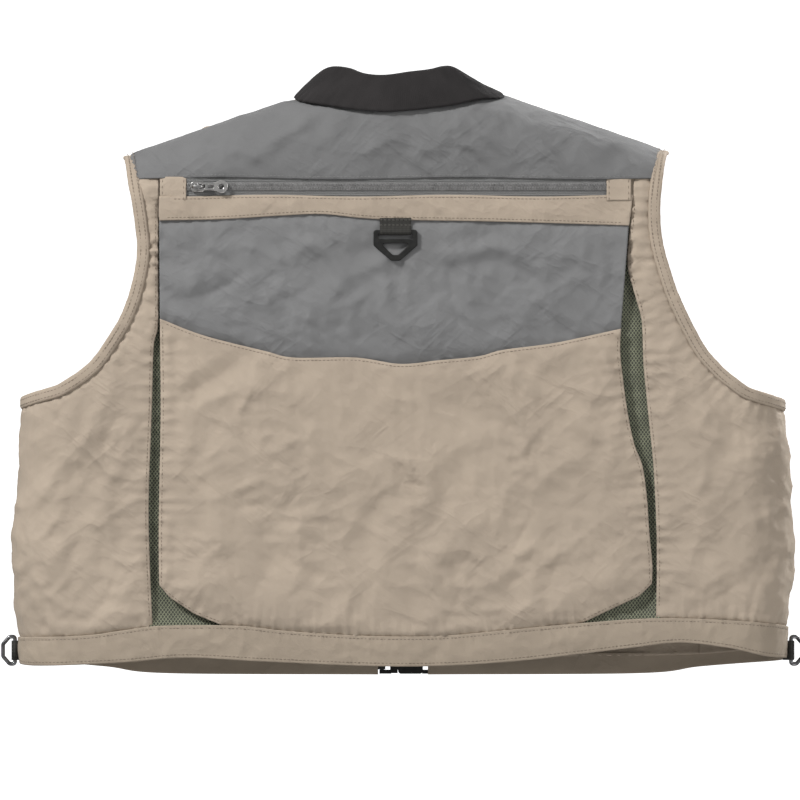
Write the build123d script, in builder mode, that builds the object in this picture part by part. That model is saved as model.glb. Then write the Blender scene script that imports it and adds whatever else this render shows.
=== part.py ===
from build123d import *
import os

os.makedirs("parts", exist_ok=True)

# Fishing vest, upright as it hangs on padded shoulders, in millimetres.
# +X is the wearer's right, +Y is forward (chest), +Z is up. The origin is in the
# middle of the neck, at the height where the neck meets the shoulder seams.

# driving dimensions of the body
HALF_WIDTH = 306          # middle plane to side
HALF_DEPTH = 42           # middle plane to chest or back
CLOTH = 2                 # shell, lining and seams together
SHOULDER_FALL = 0.347     # drop of the shoulder seam per unit of width
RIDGE = 30.5              # where both shoulder seams would meet over the neck
BACK_HEM_TOP, BACK_HEM_END = -430, -452
FRONT_HEM_TOP, FRONT_HEM_END = -447, -462
REACH = 400               # longer than any cut needs

# neck and collar
NECK_SEAM = -12
COLLAR_TOP = 26
NECK_X, NECK_Y = 98, 46   # half axes of the collar at its seam
TOP_X, TOP_Y = 64, 33     # and at its top edge
COLLAR_CLOTH = 5
COLLAR_LINING = 1.5

# back
BLOCK = 193               # half width of the middle block
SLIT = 6                  # open slit between the back panel and a side panel
ZIP_TOP, ZIP_END = -64, -78
ZIP_LEFT, ZIP_RIGHT = -173, 163
BAND_END = -98
COIL = 6                  # width of a zip's closed coil
COIL_RISE = 1
POCKET_GAP = 6            # empty back pocket, between shell and mesh
MESH = 1.2

# front
TAPE = 14                 # half width of the front zip with its tapes
FRONT_SEAM = 240          # seam between a front and a side panel
NECK_V = -150
V_HALF = 44               # half width of the V neck at the height of the origin
BINDING = 9

# webbing, rings and play
PLY = 1.2                 # one thickness of webbing
BAR = 1.6                 # radius of a ring's bar
PLAY = 0.08               # radial play of a bar or pin in its loop
GAP = 0.3                 # space between parts that pass each other


def keep(part, name):
    """Label a finished piece and write it."""
    part.label = name
    export_step(part, f"parts/{name}.step")


# ---------------------------------------------------------------- body shell

def body_solid(inset):
    """The space inside the vest's surface, taken in by inset on every side."""
    radius = HALF_DEPTH - inset
    with BuildPart() as solid:
        for side in (1, -1):
            with BuildSketch(Plane.YZ) as profile:
                with Locations((0, RIDGE - HALF_DEPTH)):
                    Circle(radius)
                    Rectangle(2 * radius, 2 * REACH, align=(Align.CENTER, Align.MAX))
            extrude(amount=REACH, dir=(side, 0, -SHOULDER_FALL))
        with BuildSketch(Plane.XY.offset(FRONT_HEM_END - inset)):
            SlotOverall(2 * (HALF_WIDTH - inset), 2 * radius)
        extrude(amount=2 * REACH, mode=Mode.INTERSECT)
    return solid.part


def skin(outer, inner):
    """Closed sheet between two insets, open at the hem."""
    with BuildPart() as sheet:
        add(body_solid(outer))
        add(body_solid(inner), mode=Mode.SUBTRACT)
    return sheet.part


def cone(inset, low, high):
    """Solid inside the collar's outer face, taken in by inset, from low to high."""
    rise = COLLAR_TOP - NECK_SEAM
    with BuildPart() as solid:
        for height in (low, high):
            part_way = (height - NECK_SEAM) / rise
            half_x = NECK_X + (TOP_X - NECK_X) * part_way - inset
            half_y = NECK_Y + (TOP_Y - NECK_Y) * part_way - inset
            with BuildSketch(Plane.XY.offset(height)):
                Ellipse(half_x, half_y)
        loft()
    return solid.part


with BuildSketch(Plane.XZ) as armholes:
    with BuildLine():
        rise = Line((222, 40), (214, -46))
        neck_side = ThreePointArc(rise @ 1, (208, -100), (215, -145))
        under_arm = ThreePointArc(neck_side @ 1, (243, -201), (HALF_WIDTH, -241))
        Polyline(under_arm @ 1, (REACH, -241), (REACH, 40), rise @ 0)
    make_face()
    mirror(about=Plane.YZ)

with BuildSketch(Plane.XZ) as armhole_edges:
    add(armholes.sketch)
    offset(amount=BINDING, kind=Kind.INTERSECTION)

with BuildSketch(Plane.XZ) as v_neck:
    slope = (V_HALF - 4) / -NECK_V
    with BuildLine():
        Polyline((-V_HALF - 60 * slope, 60), (V_HALF + 60 * slope, 60),
                 (4, NECK_V), (-4, NECK_V), close=True)
    make_face()

with BuildSketch(Plane.XZ) as v_edge:
    add(v_neck.sketch)
    offset(amount=BINDING, kind=Kind.INTERSECTION)

with BuildPart() as cloth_to_edges:
    add(skin(0, CLOTH))
    add(cone(0, NECK_SEAM, COLLAR_TOP + 10), mode=Mode.SUBTRACT)
    extrude(v_neck.sketch, amount=REACH, dir=(0, 1, 0), mode=Mode.SUBTRACT)
    extrude(armholes.sketch, amount=REACH, both=True, mode=Mode.SUBTRACT)

with BuildPart() as cloth:
    add(cloth_to_edges.part)
    extrude(v_edge.sketch, amount=REACH, dir=(0, 1, 0), mode=Mode.SUBTRACT)
    extrude(armhole_edges.sketch, amount=REACH, both=True, mode=Mode.SUBTRACT)


def cut_out(source, outline, facing):
    """The piece of source inside an outline: facing -1 is the back, 1 the front."""
    with BuildPart() as piece:
        add(source)
        extrude(outline.sketch, amount=REACH, dir=(0, facing, 0), mode=Mode.INTERSECT)
    return piece.part


def outline(points):
    """Sketch on the XZ plane with straight sides through the points."""
    with BuildSketch(Plane.XZ) as shape:
        with BuildLine():
            Polyline(*points, close=True)
        make_face()
    return shape


def block(x_low, x_high, z_low, z_high):
    """Rectangular outline on the XZ plane."""
    return outline([(x_low, z_low), (x_high, z_low), (x_high, z_high), (x_low, z_high)])


# ---------------------------------------------------------------- back

keep(cut_out(cloth.part, block(-REACH, REACH, ZIP_TOP, 60), -1), "back_yoke")

keep(cut_out(cloth.part, block(ZIP_LEFT, ZIP_RIGHT, ZIP_END, ZIP_TOP), -1), "back_zip_tape")

with BuildPart() as end_tabs:
    add(cut_out(cloth.part, block(-BLOCK, ZIP_LEFT, ZIP_END, ZIP_TOP), -1))
    add(cut_out(cloth.part, block(ZIP_RIGHT, BLOCK, ZIP_END, ZIP_TOP), -1))
keep(end_tabs.part, "back_zip_end_tabs")

keep(cut_out(cloth.part, block(-BLOCK, BLOCK, BAND_END, ZIP_END), -1), "back_band")

# the lower yoke ends in a shallow scalloped edge, deepest in the middle
SCALLOP = [(-BLOCK, -180), (-145, -194), (-80, -208), (0, -212), (80, -208), (145, -196), (BLOCK, -184)]
with BuildSketch(Plane.XZ) as lower_yoke_shape:
    with BuildLine():
        edge = Spline(*SCALLOP)
        Polyline(edge @ 1, (BLOCK, BAND_END), (-BLOCK, BAND_END), edge @ 0)
    make_face()
keep(cut_out(cloth.part, lower_yoke_shape, -1), "lower_yoke")

CORNER_X, CORNER_Z = 50, 34
with BuildSketch(Plane.XZ) as back_panel_shape:
    with BuildLine():
        edge = Spline(*SCALLOP)
        Polyline(edge @ 1, (BLOCK, BACK_HEM_TOP + CORNER_Z), (BLOCK - CORNER_X, BACK_HEM_TOP),
                 (-BLOCK + CORNER_X, BACK_HEM_TOP), (-BLOCK, BACK_HEM_TOP + CORNER_Z), edge @ 0)
    make_face()
keep(cut_out(cloth.part, back_panel_shape, -1), "back_panel")

MESH_OUT = CLOTH + POCKET_GAP
mesh_skin = skin(MESH_OUT, MESH_OUT + MESH)
keep(cut_out(mesh_skin, block(-BLOCK - 12, BLOCK + 12, BACK_HEM_TOP, ZIP_END), -1), "back_mesh")

keep(cut_out(cloth.part, block(-REACH, REACH, BACK_HEM_END, BACK_HEM_TOP), -1), "back_hem")

for side, name in ((-1, "left"), (1, "right")):
    # a side panel reaches from the back's slit, round the side, to the front panel
    seam = side * BLOCK
    inner = side * (BLOCK + SLIT)
    far = side * REACH
    back_part = [(inner, BACK_HEM_TOP), (inner, -197), (seam, -180), (seam, ZIP_TOP), (far, ZIP_TOP),
                 (far, BACK_HEM_TOP)]
    front_part = [(side * FRONT_SEAM, FRONT_HEM_TOP), (side * HALF_WIDTH, BACK_HEM_TOP),
                  (far, BACK_HEM_TOP), (far, 0), (side * FRONT_SEAM, 0)]
    with BuildPart() as side_panel:
        add(cut_out(cloth.part, outline(back_part), -1))
        add(cut_out(cloth.part, outline(front_part), 1))
    keep(side_panel.part, f"side_panel_{name}")

    with BuildPart() as binding:
        add(cloth_to_edges.part)
        extrude(armhole_edges.sketch, amount=REACH, both=True, mode=Mode.INTERSECT)
        with BuildSketch(Plane.XZ):
            with Locations((side * REACH, 0)):
                Rectangle(2 * (REACH - 100), 2 * REACH)
        extrude(amount=REACH, both=True, mode=Mode.INTERSECT)
    keep(binding.part, f"armhole_binding_{name}")

# ---------------------------------------------------------------- collar and neck

with BuildPart() as collar:
    add(cone(0, NECK_SEAM, COLLAR_TOP))
    add(cone(COLLAR_CLOTH, NECK_SEAM - 1, COLLAR_TOP + 1), mode=Mode.SUBTRACT)
    extrude(v_neck.sketch, amount=REACH, dir=(0, 1, 0), mode=Mode.SUBTRACT)
keep(collar.part, "collar")

with BuildPart() as collar_lining:
    add(cone(COLLAR_CLOTH, NECK_SEAM, COLLAR_TOP - 1))
    add(cone(COLLAR_CLOTH + COLLAR_LINING, NECK_SEAM - 1, COLLAR_TOP + 1), mode=Mode.SUBTRACT)
    extrude(v_neck.sketch, amount=REACH, dir=(0, 1, 0), mode=Mode.SUBTRACT)
keep(collar_lining.part, "collar_lining")

# ---------------------------------------------------------------- front

ZIP_FOOT = FRONT_HEM_TOP + 22
ZIP_HEAD = NECK_V - BINDING
for side, name in ((-1, "left"), (1, "right")):
    panel_shape = [(side * TAPE, 60), (side * FRONT_SEAM, 60), (side * FRONT_SEAM, FRONT_HEM_TOP),
                   (side * (TAPE + 6), FRONT_HEM_TOP), (side * TAPE, ZIP_FOOT)]
    keep(cut_out(cloth.part, outline(panel_shape), 1), f"front_panel_{name}")
    hem_shape = [(side * (TAPE + 6), FRONT_HEM_TOP), (side * FRONT_SEAM, FRONT_HEM_TOP),
                 (side * HALF_WIDTH, BACK_HEM_TOP), (side * REACH, BACK_HEM_TOP),
                 (side * REACH, BACK_HEM_END), (side * HALF_WIDTH, BACK_HEM_END),
                 (side * FRONT_SEAM, FRONT_HEM_END), (side * (TAPE + 6), FRONT_HEM_END)]
    keep(cut_out(cloth.part, outline(hem_shape), 1), f"front_hem_{name}")
    tape_shape = block(min(side * COIL / 2, side * TAPE), max(side * COIL / 2, side * TAPE),
                       ZIP_FOOT, ZIP_HEAD)
    keep(cut_out(cloth.part, tape_shape, 1), f"front_zip_tape_{name}")
    with BuildPart() as neck_binding:
        add(cloth_to_edges.part)
        extrude(v_edge.sketch, amount=REACH, dir=(0, 1, 0), mode=Mode.INTERSECT)
        with BuildSketch(Plane.XZ):
            with Locations((side * REACH / 2, 0)):
                Rectangle(REACH, 2 * REACH)
        extrude(amount=REACH, dir=(0, 1, 0), mode=Mode.INTERSECT)
    keep(neck_binding.part, f"neck_binding_{name}")

# ---------------------------------------------------------------- zips

SLIDER_LONG, SLIDER_WIDE, SLIDER_TALL = 12, 8.6, 1.5
PIN = 1                   # radius of the pull's pin
PIN_RISE = 3.4            # pin above the coil's face
EYE_REACH, EYE, HOLE = 18.5, 5.2, 2.2
PULL_TALL = 1.4


def side_of(at):
    """Plane across a zip's own plane: its x runs along the zip, its y away from the cloth."""
    return Plane(at.origin, x_dir=at.x_dir, z_dir=-at.y_dir)


def coil(at, length, below=0):
    """Closed coil, from the plane's origin along its x; below reaches down between the tapes."""
    with BuildPart() as teeth:
        with BuildSketch(at.offset(-COIL_RISE - below)):
            with Locations((length / 2, 0)):
                Rectangle(length, COIL)
        extrude(amount=COIL_RISE + below)
    return teeth.part


def slider(at):
    """Zip slider over the coil: plate, two rails beside the coil, and the bridge for the pull."""
    with BuildPart() as body:
        with BuildSketch(at.offset(GAP)) as plate:
            Rectangle(SLIDER_LONG, SLIDER_WIDE)
            fillet(plate.vertices(), 2)
        extrude(amount=SLIDER_TALL)
        with BuildSketch(at.offset(GAP - COIL_RISE)):
            with GridLocations(0, SLIDER_WIDE - 1, 1, 2):
                Rectangle(SLIDER_LONG - 4, 1)
        extrude(amount=COIL_RISE)
        with BuildSketch(side_of(at)) as bridge:
            base = GAP + SLIDER_TALL
            with BuildLine():
                Polyline((-4.5, base), (4.5, base), (3, PIN_RISE + 1.9), (-3, PIN_RISE + 1.9), close=True)
            make_face()
            with Locations((0, PIN_RISE)):
                Circle(PIN + PLAY, mode=Mode.SUBTRACT)
        extrude(amount=PLY, both=True)
    return body.part


def pull(at):
    """Flat pull tab on its pin, lying along the zip, with a round eye at its far end."""
    with BuildPart() as tab:
        with BuildSketch(side_of(at)):
            with Locations((0, PIN_RISE)):
                Circle(PIN)
        extrude(amount=3, both=True)
        with BuildSketch(at.offset(PIN_RISE - PULL_TALL / 2)):
            with Locations((2.6, 2.3), (2.6, -2.3)):
                Rectangle(7, 1.4)
            with BuildLine():
                Polyline((5, -3), (EYE_REACH, -4.4), (EYE_REACH, 4.4), (5, 3), close=True)
            make_face()
            with Locations((EYE_REACH, 0)):
                Circle(EYE)
                Circle(HOLE, mode=Mode.SUBTRACT)
        extrude(amount=PULL_TALL)
    return tab.part


FACE = HALF_DEPTH + COIL_RISE
back_zip_line = (ZIP_TOP + ZIP_END) / 2
back_coil = Plane((ZIP_LEFT + 1, -FACE, back_zip_line), x_dir=(1, 0, 0), z_dir=(0, -1, 0))
keep(coil(back_coil, ZIP_RIGHT - ZIP_LEFT - 2), "back_zip_coil")
back_slider_place = Plane((ZIP_LEFT + 10, -FACE, back_zip_line), x_dir=(1, 0, 0), z_dir=(0, -1, 0))
keep(slider(back_slider_place), "back_zip_slider")
keep(pull(back_slider_place), "back_zip_pull")

front_coil = Plane((0, FACE, ZIP_HEAD), x_dir=(0, 0, -1), z_dir=(0, 1, 0))
keep(coil(front_coil, ZIP_HEAD - ZIP_FOOT, CLOTH), "front_zip_coil")
front_slider_place = Plane((0, FACE, ZIP_HEAD - 10), x_dir=(0, 0, -1), z_dir=(0, 1, 0))
keep(slider(front_slider_place), "front_zip_slider")
keep(pull(front_slider_place), "front_zip_pull")

# the end box that holds both halves of the front zip together at its foot
with BuildPart() as zip_box:
    for side in (-1, 1):
        with BuildSketch(Plane.XZ.offset(-HALF_DEPTH)):
            with Locations((side * (COIL / 2 + 2), ZIP_FOOT + 4.5)):
                Rectangle(3.6, 9)
        extrude(amount=-1.6)
keep(zip_box.part, "front_zip_box")

# ---------------------------------------------------------------- pockets

WALL = 1.5
CHEST_X, CHEST_WIDE, CHEST_TOP, CHEST_LONG, CHEST_DEEP = 110, 120, -138, 110, 22
LOWER_X, LOWER_WIDE, LOWER_TOP, LOWER_LONG, LOWER_DEEP = 130, 160, -285, 140, 28
FLAP_DROP, FLAP_CLOTH, PATCH = 42, 2, 1
SLOT_LONG, SLOT_WIDE = 132, 12


def pocket_block(x, wide, top, long, deep):
    """Plain block of a pocket on the chest face, rounded at its two outer upright edges."""
    with BuildPart() as solid:
        with BuildSketch(Plane.XY.offset(top - long)):
            with Locations((x, HALF_DEPTH + deep / 2)):
                Rectangle(wide, deep)
        extrude(amount=long)
        fillet(solid.edges().filter_by(Axis.Z).sort_by(Axis.Y)[-2:], 7)
    return solid.part


for side, name in ((-1, "left"), (1, "right")):
    with BuildPart() as chest_pocket:
        add(pocket_block(side * CHEST_X, CHEST_WIDE, CHEST_TOP, CHEST_LONG, CHEST_DEEP))
        offset(amount=-WALL, openings=chest_pocket.faces().sort_by(Axis.Z)[-1])
    keep(chest_pocket.part, f"chest_pocket_{name}")

    # the flap lies over the open top and hangs down in front; it folds up about its sewn edge
    front = HALF_DEPTH + CHEST_DEEP + PATCH + GAP
    roof = CHEST_TOP + GAP
    with BuildPart() as flap:
        with BuildSketch(Plane.YZ.offset(side * CHEST_X)):
            with BuildLine():
                Polyline((HALF_DEPTH + GAP, roof), (front, roof), (front, roof - FLAP_DROP),
                         (front + FLAP_CLOTH, roof - FLAP_DROP), (front + FLAP_CLOTH, roof + FLAP_CLOTH),
                         (HALF_DEPTH + GAP, roof + FLAP_CLOTH), close=True)
            make_face()
        extrude(amount=CHEST_WIDE / 2 + 2, both=True)
    keep(flap.part, f"chest_flap_{name}")

    with BuildPart() as hook_patch:
        with BuildSketch(Plane.XZ.offset(-HALF_DEPTH - CHEST_DEEP)):
            with Locations((side * CHEST_X, CHEST_TOP - 28)):
                Rectangle(50, 18)
        extrude(amount=-PATCH)
    keep(hook_patch.part, f"hook_patch_{name}")

    with BuildPart() as lower_pocket:
        add(pocket_block(side * LOWER_X, LOWER_WIDE, LOWER_TOP, LOWER_LONG, LOWER_DEEP))
        offset(amount=-WALL, openings=lower_pocket.faces().sort_by(Axis.Z)[-1])
        with BuildSketch(Plane.XY.offset(LOWER_TOP - WALL)):
            with Locations((side * LOWER_X, HALF_DEPTH + LOWER_DEEP / 2)):
                Rectangle(LOWER_WIDE - 16, LOWER_DEEP)
                Rectangle(SLOT_LONG, SLOT_WIDE, mode=Mode.SUBTRACT)
        extrude(amount=WALL)
    keep(lower_pocket.part, f"lower_pocket_{name}")

    # the pocket's zip closes the slot in its top
    middle = HALF_DEPTH + LOWER_DEEP / 2
    with BuildPart() as lower_tape:
        with BuildSketch(Plane.XY.offset(LOWER_TOP)):
            with Locations((side * LOWER_X, middle)):
                Rectangle(SLOT_LONG + 8, 20)
        extrude(amount=1)
    keep(lower_tape.part, f"lower_zip_tape_{name}")
    start = side * LOWER_X - SLOT_LONG / 2
    lower_coil = Plane((start, middle, LOWER_TOP + 1 + COIL_RISE), x_dir=(1, 0, 0), z_dir=(0, 0, 1))
    keep(coil(lower_coil, SLOT_LONG), f"lower_zip_coil_{name}")
    lower_place = Plane((start + 8, middle, LOWER_TOP + 1 + COIL_RISE), x_dir=(1, 0, 0), z_dir=(0, 0, 1))
    keep(slider(lower_place), f"lower_zip_slider_{name}")
    keep(pull(lower_place), f"lower_zip_pull_{name}")

# fleece patch for flies, on a backing, high on the wearer's left chest
PATCH_X, PATCH_Z = -108, -83
for thick, wide, high, base, name in ((PLY, 84, 50, 0, "fly_patch_backing"), (7, 78, 44, PLY, "fly_patch")):
    with BuildPart() as pad:
        with BuildSketch(Plane.XZ.offset(-HALF_DEPTH - base)) as shape:
            with Locations((PATCH_X, PATCH_Z)):
                Rectangle(wide, high)
            fillet(shape.vertices(), 5)
        extrude(amount=-thick)
    keep(pad.part, name)

# ---------------------------------------------------------------- webbing and rings

LOOP = BAR + PLAY + PLY   # outer radius of webbing round a bar
STAND = LOOP + GAP        # bar's middle above the cloth


def sewn_tab(at, wide, sewn):
    """Webbing folded round a bar at the plane's origin, its two plies sewn down along the plane's y."""
    with BuildPart() as tab:
        with BuildSketch(Plane(at.origin, x_dir=at.y_dir, z_dir=at.x_dir)):
            Circle(LOOP)
            with BuildLine():
                Polyline((0, -STAND), (sewn, -STAND), (sewn, 2 * PLY - STAND), (LOOP + 2, 2 * PLY - STAND),
                         (0, LOOP), close=True)
            make_face()
            Circle(BAR + PLAY, mode=Mode.SUBTRACT)
        extrude(amount=wide / 2, both=True)
    return tab.part


def seam_tab(at, wide, length):
    """Webbing folded round a bar, its two plies caught edge-on in a seam along the plane's y."""
    with BuildPart() as tab:
        with BuildSketch(Plane(at.origin, x_dir=at.y_dir, z_dir=at.x_dir)):
            Circle(LOOP)
            with Locations((length / 2, 0)):
                Rectangle(length, 2 * PLY)
            Circle(BAR + PLAY, mode=Mode.SUBTRACT)
        extrude(amount=wide / 2, both=True)
    return tab.part


def wire_ring(at, half, depth):
    """D shaped ring of round wire: a straight bar along the plane's x, the bow towards minus y."""
    with BuildPart() as ring:
        with BuildLine(at) as path:
            FilletPolyline((-half, 0), (half, 0), (half, -0.45 * depth), (0.45 * half, -depth),
                           (-0.45 * half, -depth), (-half, -0.45 * depth), radius=2.1, close=True)
        with BuildSketch(Plane(path.line @ 0, z_dir=path.line % 0)):
            Circle(BAR)
        sweep()
    return ring.part


# flat ring for a landing net on the back: a webbing slot above, a triangular eye below
RING_X, RING_Z = -6, -107
RING_HALF, RING_SHOULDER, RING_LONG, RING_TIP = 17.5, 11, 23, 3.2
SLOT_HALF, SLOT_DEEP = 13.5, 5.8
net_place = Plane((RING_X, -HALF_DEPTH - STAND, RING_Z), x_dir=(1, 0, 0), z_dir=(0, -1, 0))
keep(sewn_tab(net_place, 25, 10), "net_ring_webbing")
with BuildPart() as net_ring:
    with BuildSketch(net_place.offset(-BAR)) as ring_shape:
        with BuildLine():
            Polyline((-RING_HALF, BAR), (RING_HALF, BAR), (RING_HALF, -RING_SHOULDER), (RING_TIP, -RING_LONG),
                     (-RING_TIP, -RING_LONG), (-RING_HALF, -RING_SHOULDER), close=True)
        make_face()
        fillet(ring_shape.vertices(), 1.5)
        with BuildLine():
            Polyline((-11.5, -9.2), (11.5, -9.2), (2, -18), (-2, -18), close=True)
        make_face(mode=Mode.SUBTRACT)
        with Locations((0, -SLOT_DEEP)):
            Rectangle(2 * SLOT_HALF, 20, align=(Align.CENTER, Align.MIN), mode=Mode.SUBTRACT)
    extrude(amount=2 * BAR)
    with BuildSketch(Plane(net_place.origin, z_dir=(1, 0, 0))):
        Circle(BAR)
    extrude(amount=SLOT_HALF + 1, both=True)
keep(net_ring.part, "net_ring")

# wire rings at both ends of the hem, each on a tab in the side seam
SIDE_RING_Z = -441
for side, name in ((-1, "left"), (1, "right")):
    side_place = Plane((side * (HALF_WIDTH + LOOP + 1.5), 0, SIDE_RING_Z), x_dir=(0, 0, 1),
                       z_dir=(0, -side, 0))
    keep(seam_tab(side_place, 16, LOOP + 1.5), f"side_tab_{name}")
    keep(wire_ring(side_place, 10.9, 9.6), f"side_ring_{name}")

# small wire ring for a tool cord, high on the wearer's right chest
TOOL_X, TOOL_Z = 108, -84
tool_place = Plane((TOOL_X, HALF_DEPTH + STAND, TOOL_Z), x_dir=(-1, 0, 0), z_dir=(0, 1, 0))
keep(sewn_tab(tool_place, 16, 18), "tool_tab")
keep(wire_ring(tool_place, 10.9, 12), "tool_ring")

# hanging loop inside the back of the neck: a tape that bows away from the yoke
LOOP_HALF, LOOP_BOW, LOOP_TOP = 30, 8, -24
with BuildPart() as hanging_loop:
    with BuildSketch(Plane.XY.offset(LOOP_TOP - 8)):
        back_face = CLOTH - HALF_DEPTH
        with BuildLine():
            outer = Polyline((-LOOP_HALF, back_face), (-LOOP_HALF + 7, back_face + LOOP_BOW),
                             (LOOP_HALF - 7, back_face + LOOP_BOW), (LOOP_HALF, back_face))
            Polyline(outer @ 1, (LOOP_HALF - 2, back_face), (LOOP_HALF - 8, back_face + LOOP_BOW - PLY),
                     (8 - LOOP_HALF, back_face + LOOP_BOW - PLY), (2 - LOOP_HALF, back_face), outer @ 0)
        make_face()
    extrude(amount=8)
keep(hanging_loop.part, "hanging_loop")

# ---------------------------------------------------------------- waist buckle

BUCKLE_X, BUCKLE_Y, BUCKLE_Z = 3, HALF_DEPTH + 4.5, -450
SOCKET_LEFT, SOCKET_RIGHT, SOCKET_HIGH, SOCKET_THICK = -16, 7, 22, 9
BAR_OUT = 20              # each strap bar's middle, from the buckle's middle
STRAP_WIDE, STRAP_LONG = 15, 46
PRONG_LONG = 13
buckle_place = Plane((BUCKLE_X, BUCKLE_Y, BUCKLE_Z), x_dir=(-1, 0, 0), z_dir=(0, 1, 0))


def strap_end(at, side):
    """Two cheeks and a round bar that carry a strap, at one end of the buckle."""
    with BuildPart() as end:
        with BuildSketch(at.offset(-BAR)):
            with Locations((side * (BAR_OUT - 2.8), 9.4), (side * (BAR_OUT - 2.8), -9.4)):
                Rectangle(9.6, 3.2)
        extrude(amount=2 * BAR)
        with BuildSketch(Plane(at.origin, x_dir=at.x_dir, z_dir=at.y_dir)):
            with Locations((side * BAR_OUT, 0)):
                Circle(BAR)
        extrude(amount=9, both=True)
    return end.part


def waist_strap(at, side):
    """Strap round a buckle bar, its two plies lying on the hem and away to the side."""
    with BuildPart() as strap:
        with BuildSketch(Plane(at.origin, x_dir=at.x_dir, z_dir=-at.y_dir)):
            base = HALF_DEPTH + GAP - BUCKLE_Y
            with Locations((side * BAR_OUT, 0)):
                Circle(LOOP)
            with BuildLine():
                Polyline((side * BAR_OUT, base), (side * (BAR_OUT + STRAP_LONG), base),
                         (side * (BAR_OUT + STRAP_LONG), base + 2 * PLY),
                         (side * (BAR_OUT + LOOP + 2), base + 2 * PLY), (side * BAR_OUT, LOOP), close=True)
            make_face()
            with Locations((side * BAR_OUT, 0)):
                Circle(BAR + PLAY, mode=Mode.SUBTRACT)
        extrude(amount=STRAP_WIDE / 2, both=True)
    return strap.part


with BuildPart() as socket:
    with BuildSketch(buckle_place.offset(-SOCKET_THICK / 2)) as case:
        with Locations(((SOCKET_LEFT + SOCKET_RIGHT) / 2 + 1.5, 0)):
            Rectangle(SOCKET_RIGHT - SOCKET_LEFT - 3, SOCKET_HIGH)
        fillet(case.vertices(), 2.5)
    extrude(amount=SOCKET_THICK)
    with BuildSketch(buckle_place.offset(-3)):
        with Locations((SOCKET_RIGHT, 0)):
            Rectangle(PRONG_LONG + 3, 17, align=(Align.MAX, Align.CENTER))
    extrude(amount=6, mode=Mode.SUBTRACT)
    add(strap_end(buckle_place, -1))
keep(socket.part, "buckle_socket")
keep(waist_strap(buckle_place, -1), "socket_strap")

with BuildPart() as plug:
    with BuildSketch(buckle_place.offset(GAP - SOCKET_THICK / 2)):
        with Locations((SOCKET_RIGHT + GAP, 0)):
            Rectangle(6, SOCKET_HIGH - 1, align=(Align.MIN, Align.CENTER))
    extrude(amount=SOCKET_THICK - 2 * GAP)
    with BuildSketch(buckle_place.offset(-2)):
        with Locations((SOCKET_RIGHT + 2, 6.2), (SOCKET_RIGHT + 2, -6.2)):
            Rectangle(PRONG_LONG + 1, 3.4, align=(Align.MAX, Align.CENTER))
        with Locations((SOCKET_RIGHT + 2, 0)):
            Rectangle(PRONG_LONG - 1, 2.4, align=(Align.MAX, Align.CENTER))
    extrude(amount=4)
    add(strap_end(buckle_place, 1))
keep(plug.part, "buckle_plug")
keep(waist_strap(buckle_place, 1), "plug_strap")
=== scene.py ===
import math

import bmesh
import bpy
import mathutils
import numpy as np
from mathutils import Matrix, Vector


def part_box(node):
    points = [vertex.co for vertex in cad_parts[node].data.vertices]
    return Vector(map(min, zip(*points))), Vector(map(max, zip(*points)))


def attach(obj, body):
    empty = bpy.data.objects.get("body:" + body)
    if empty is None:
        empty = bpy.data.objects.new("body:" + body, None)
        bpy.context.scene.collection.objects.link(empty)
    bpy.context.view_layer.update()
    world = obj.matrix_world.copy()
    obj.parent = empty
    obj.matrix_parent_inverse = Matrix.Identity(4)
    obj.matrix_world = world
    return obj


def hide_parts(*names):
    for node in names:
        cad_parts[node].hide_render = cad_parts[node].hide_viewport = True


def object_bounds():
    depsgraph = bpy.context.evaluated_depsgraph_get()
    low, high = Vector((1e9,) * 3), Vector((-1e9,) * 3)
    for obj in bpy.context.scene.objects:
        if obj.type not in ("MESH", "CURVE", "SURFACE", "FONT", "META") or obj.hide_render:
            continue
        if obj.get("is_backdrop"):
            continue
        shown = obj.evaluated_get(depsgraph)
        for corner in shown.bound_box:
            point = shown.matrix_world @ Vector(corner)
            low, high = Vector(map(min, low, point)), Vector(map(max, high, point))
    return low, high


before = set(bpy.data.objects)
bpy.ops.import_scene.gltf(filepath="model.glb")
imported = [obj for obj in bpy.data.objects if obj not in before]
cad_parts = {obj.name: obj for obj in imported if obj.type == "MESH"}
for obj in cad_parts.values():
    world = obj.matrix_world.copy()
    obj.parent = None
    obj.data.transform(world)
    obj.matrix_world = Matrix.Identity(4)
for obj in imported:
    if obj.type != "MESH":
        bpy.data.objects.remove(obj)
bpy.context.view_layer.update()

# Lengths in this script are millimetres and become metres where a mesh is made.
MM = 0.001
REST = "vest"  # the body that every sewn piece rides on
SIDES = ((-1, "left"), (1, "right"))


# ------------------------------------------------------------ the vest's surface
# A pattern point is (s, t): s runs level round the body from the middle of the back,
# plus to the wearer's right, and t runs up the cloth and over the shoulder's round.

def mm_box(node):
    """A CAD node's lowest and highest corners in mm."""
    low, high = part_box(node)
    return np.array(low) / MM, np.array(high) / MM


hem_low, hem_high = mm_box("back_hem")
HALF_WIDTH = hem_high[0]
HALF_DEPTH = -hem_low[1]
FLAT = HALF_WIDTH - HALF_DEPTH
LOOP = 2 * FLAT + math.pi * HALF_DEPTH  # from the middle of the back to the middle of the chest
SHOULDER_FALL = 0.347
RIDGE = 30.5


def bell(value, middle, width):
    return np.exp(-(((value - middle) / width) ** 2))


def fullness(z):
    """The sides swell a little at the waist and draw in at the underarm and the hem."""
    return 1 + 0.021 * bell(z, -350, 62) - 0.006 * bell(z, -240, 40) - 0.003 * bell(z, -440, 30)


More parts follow.
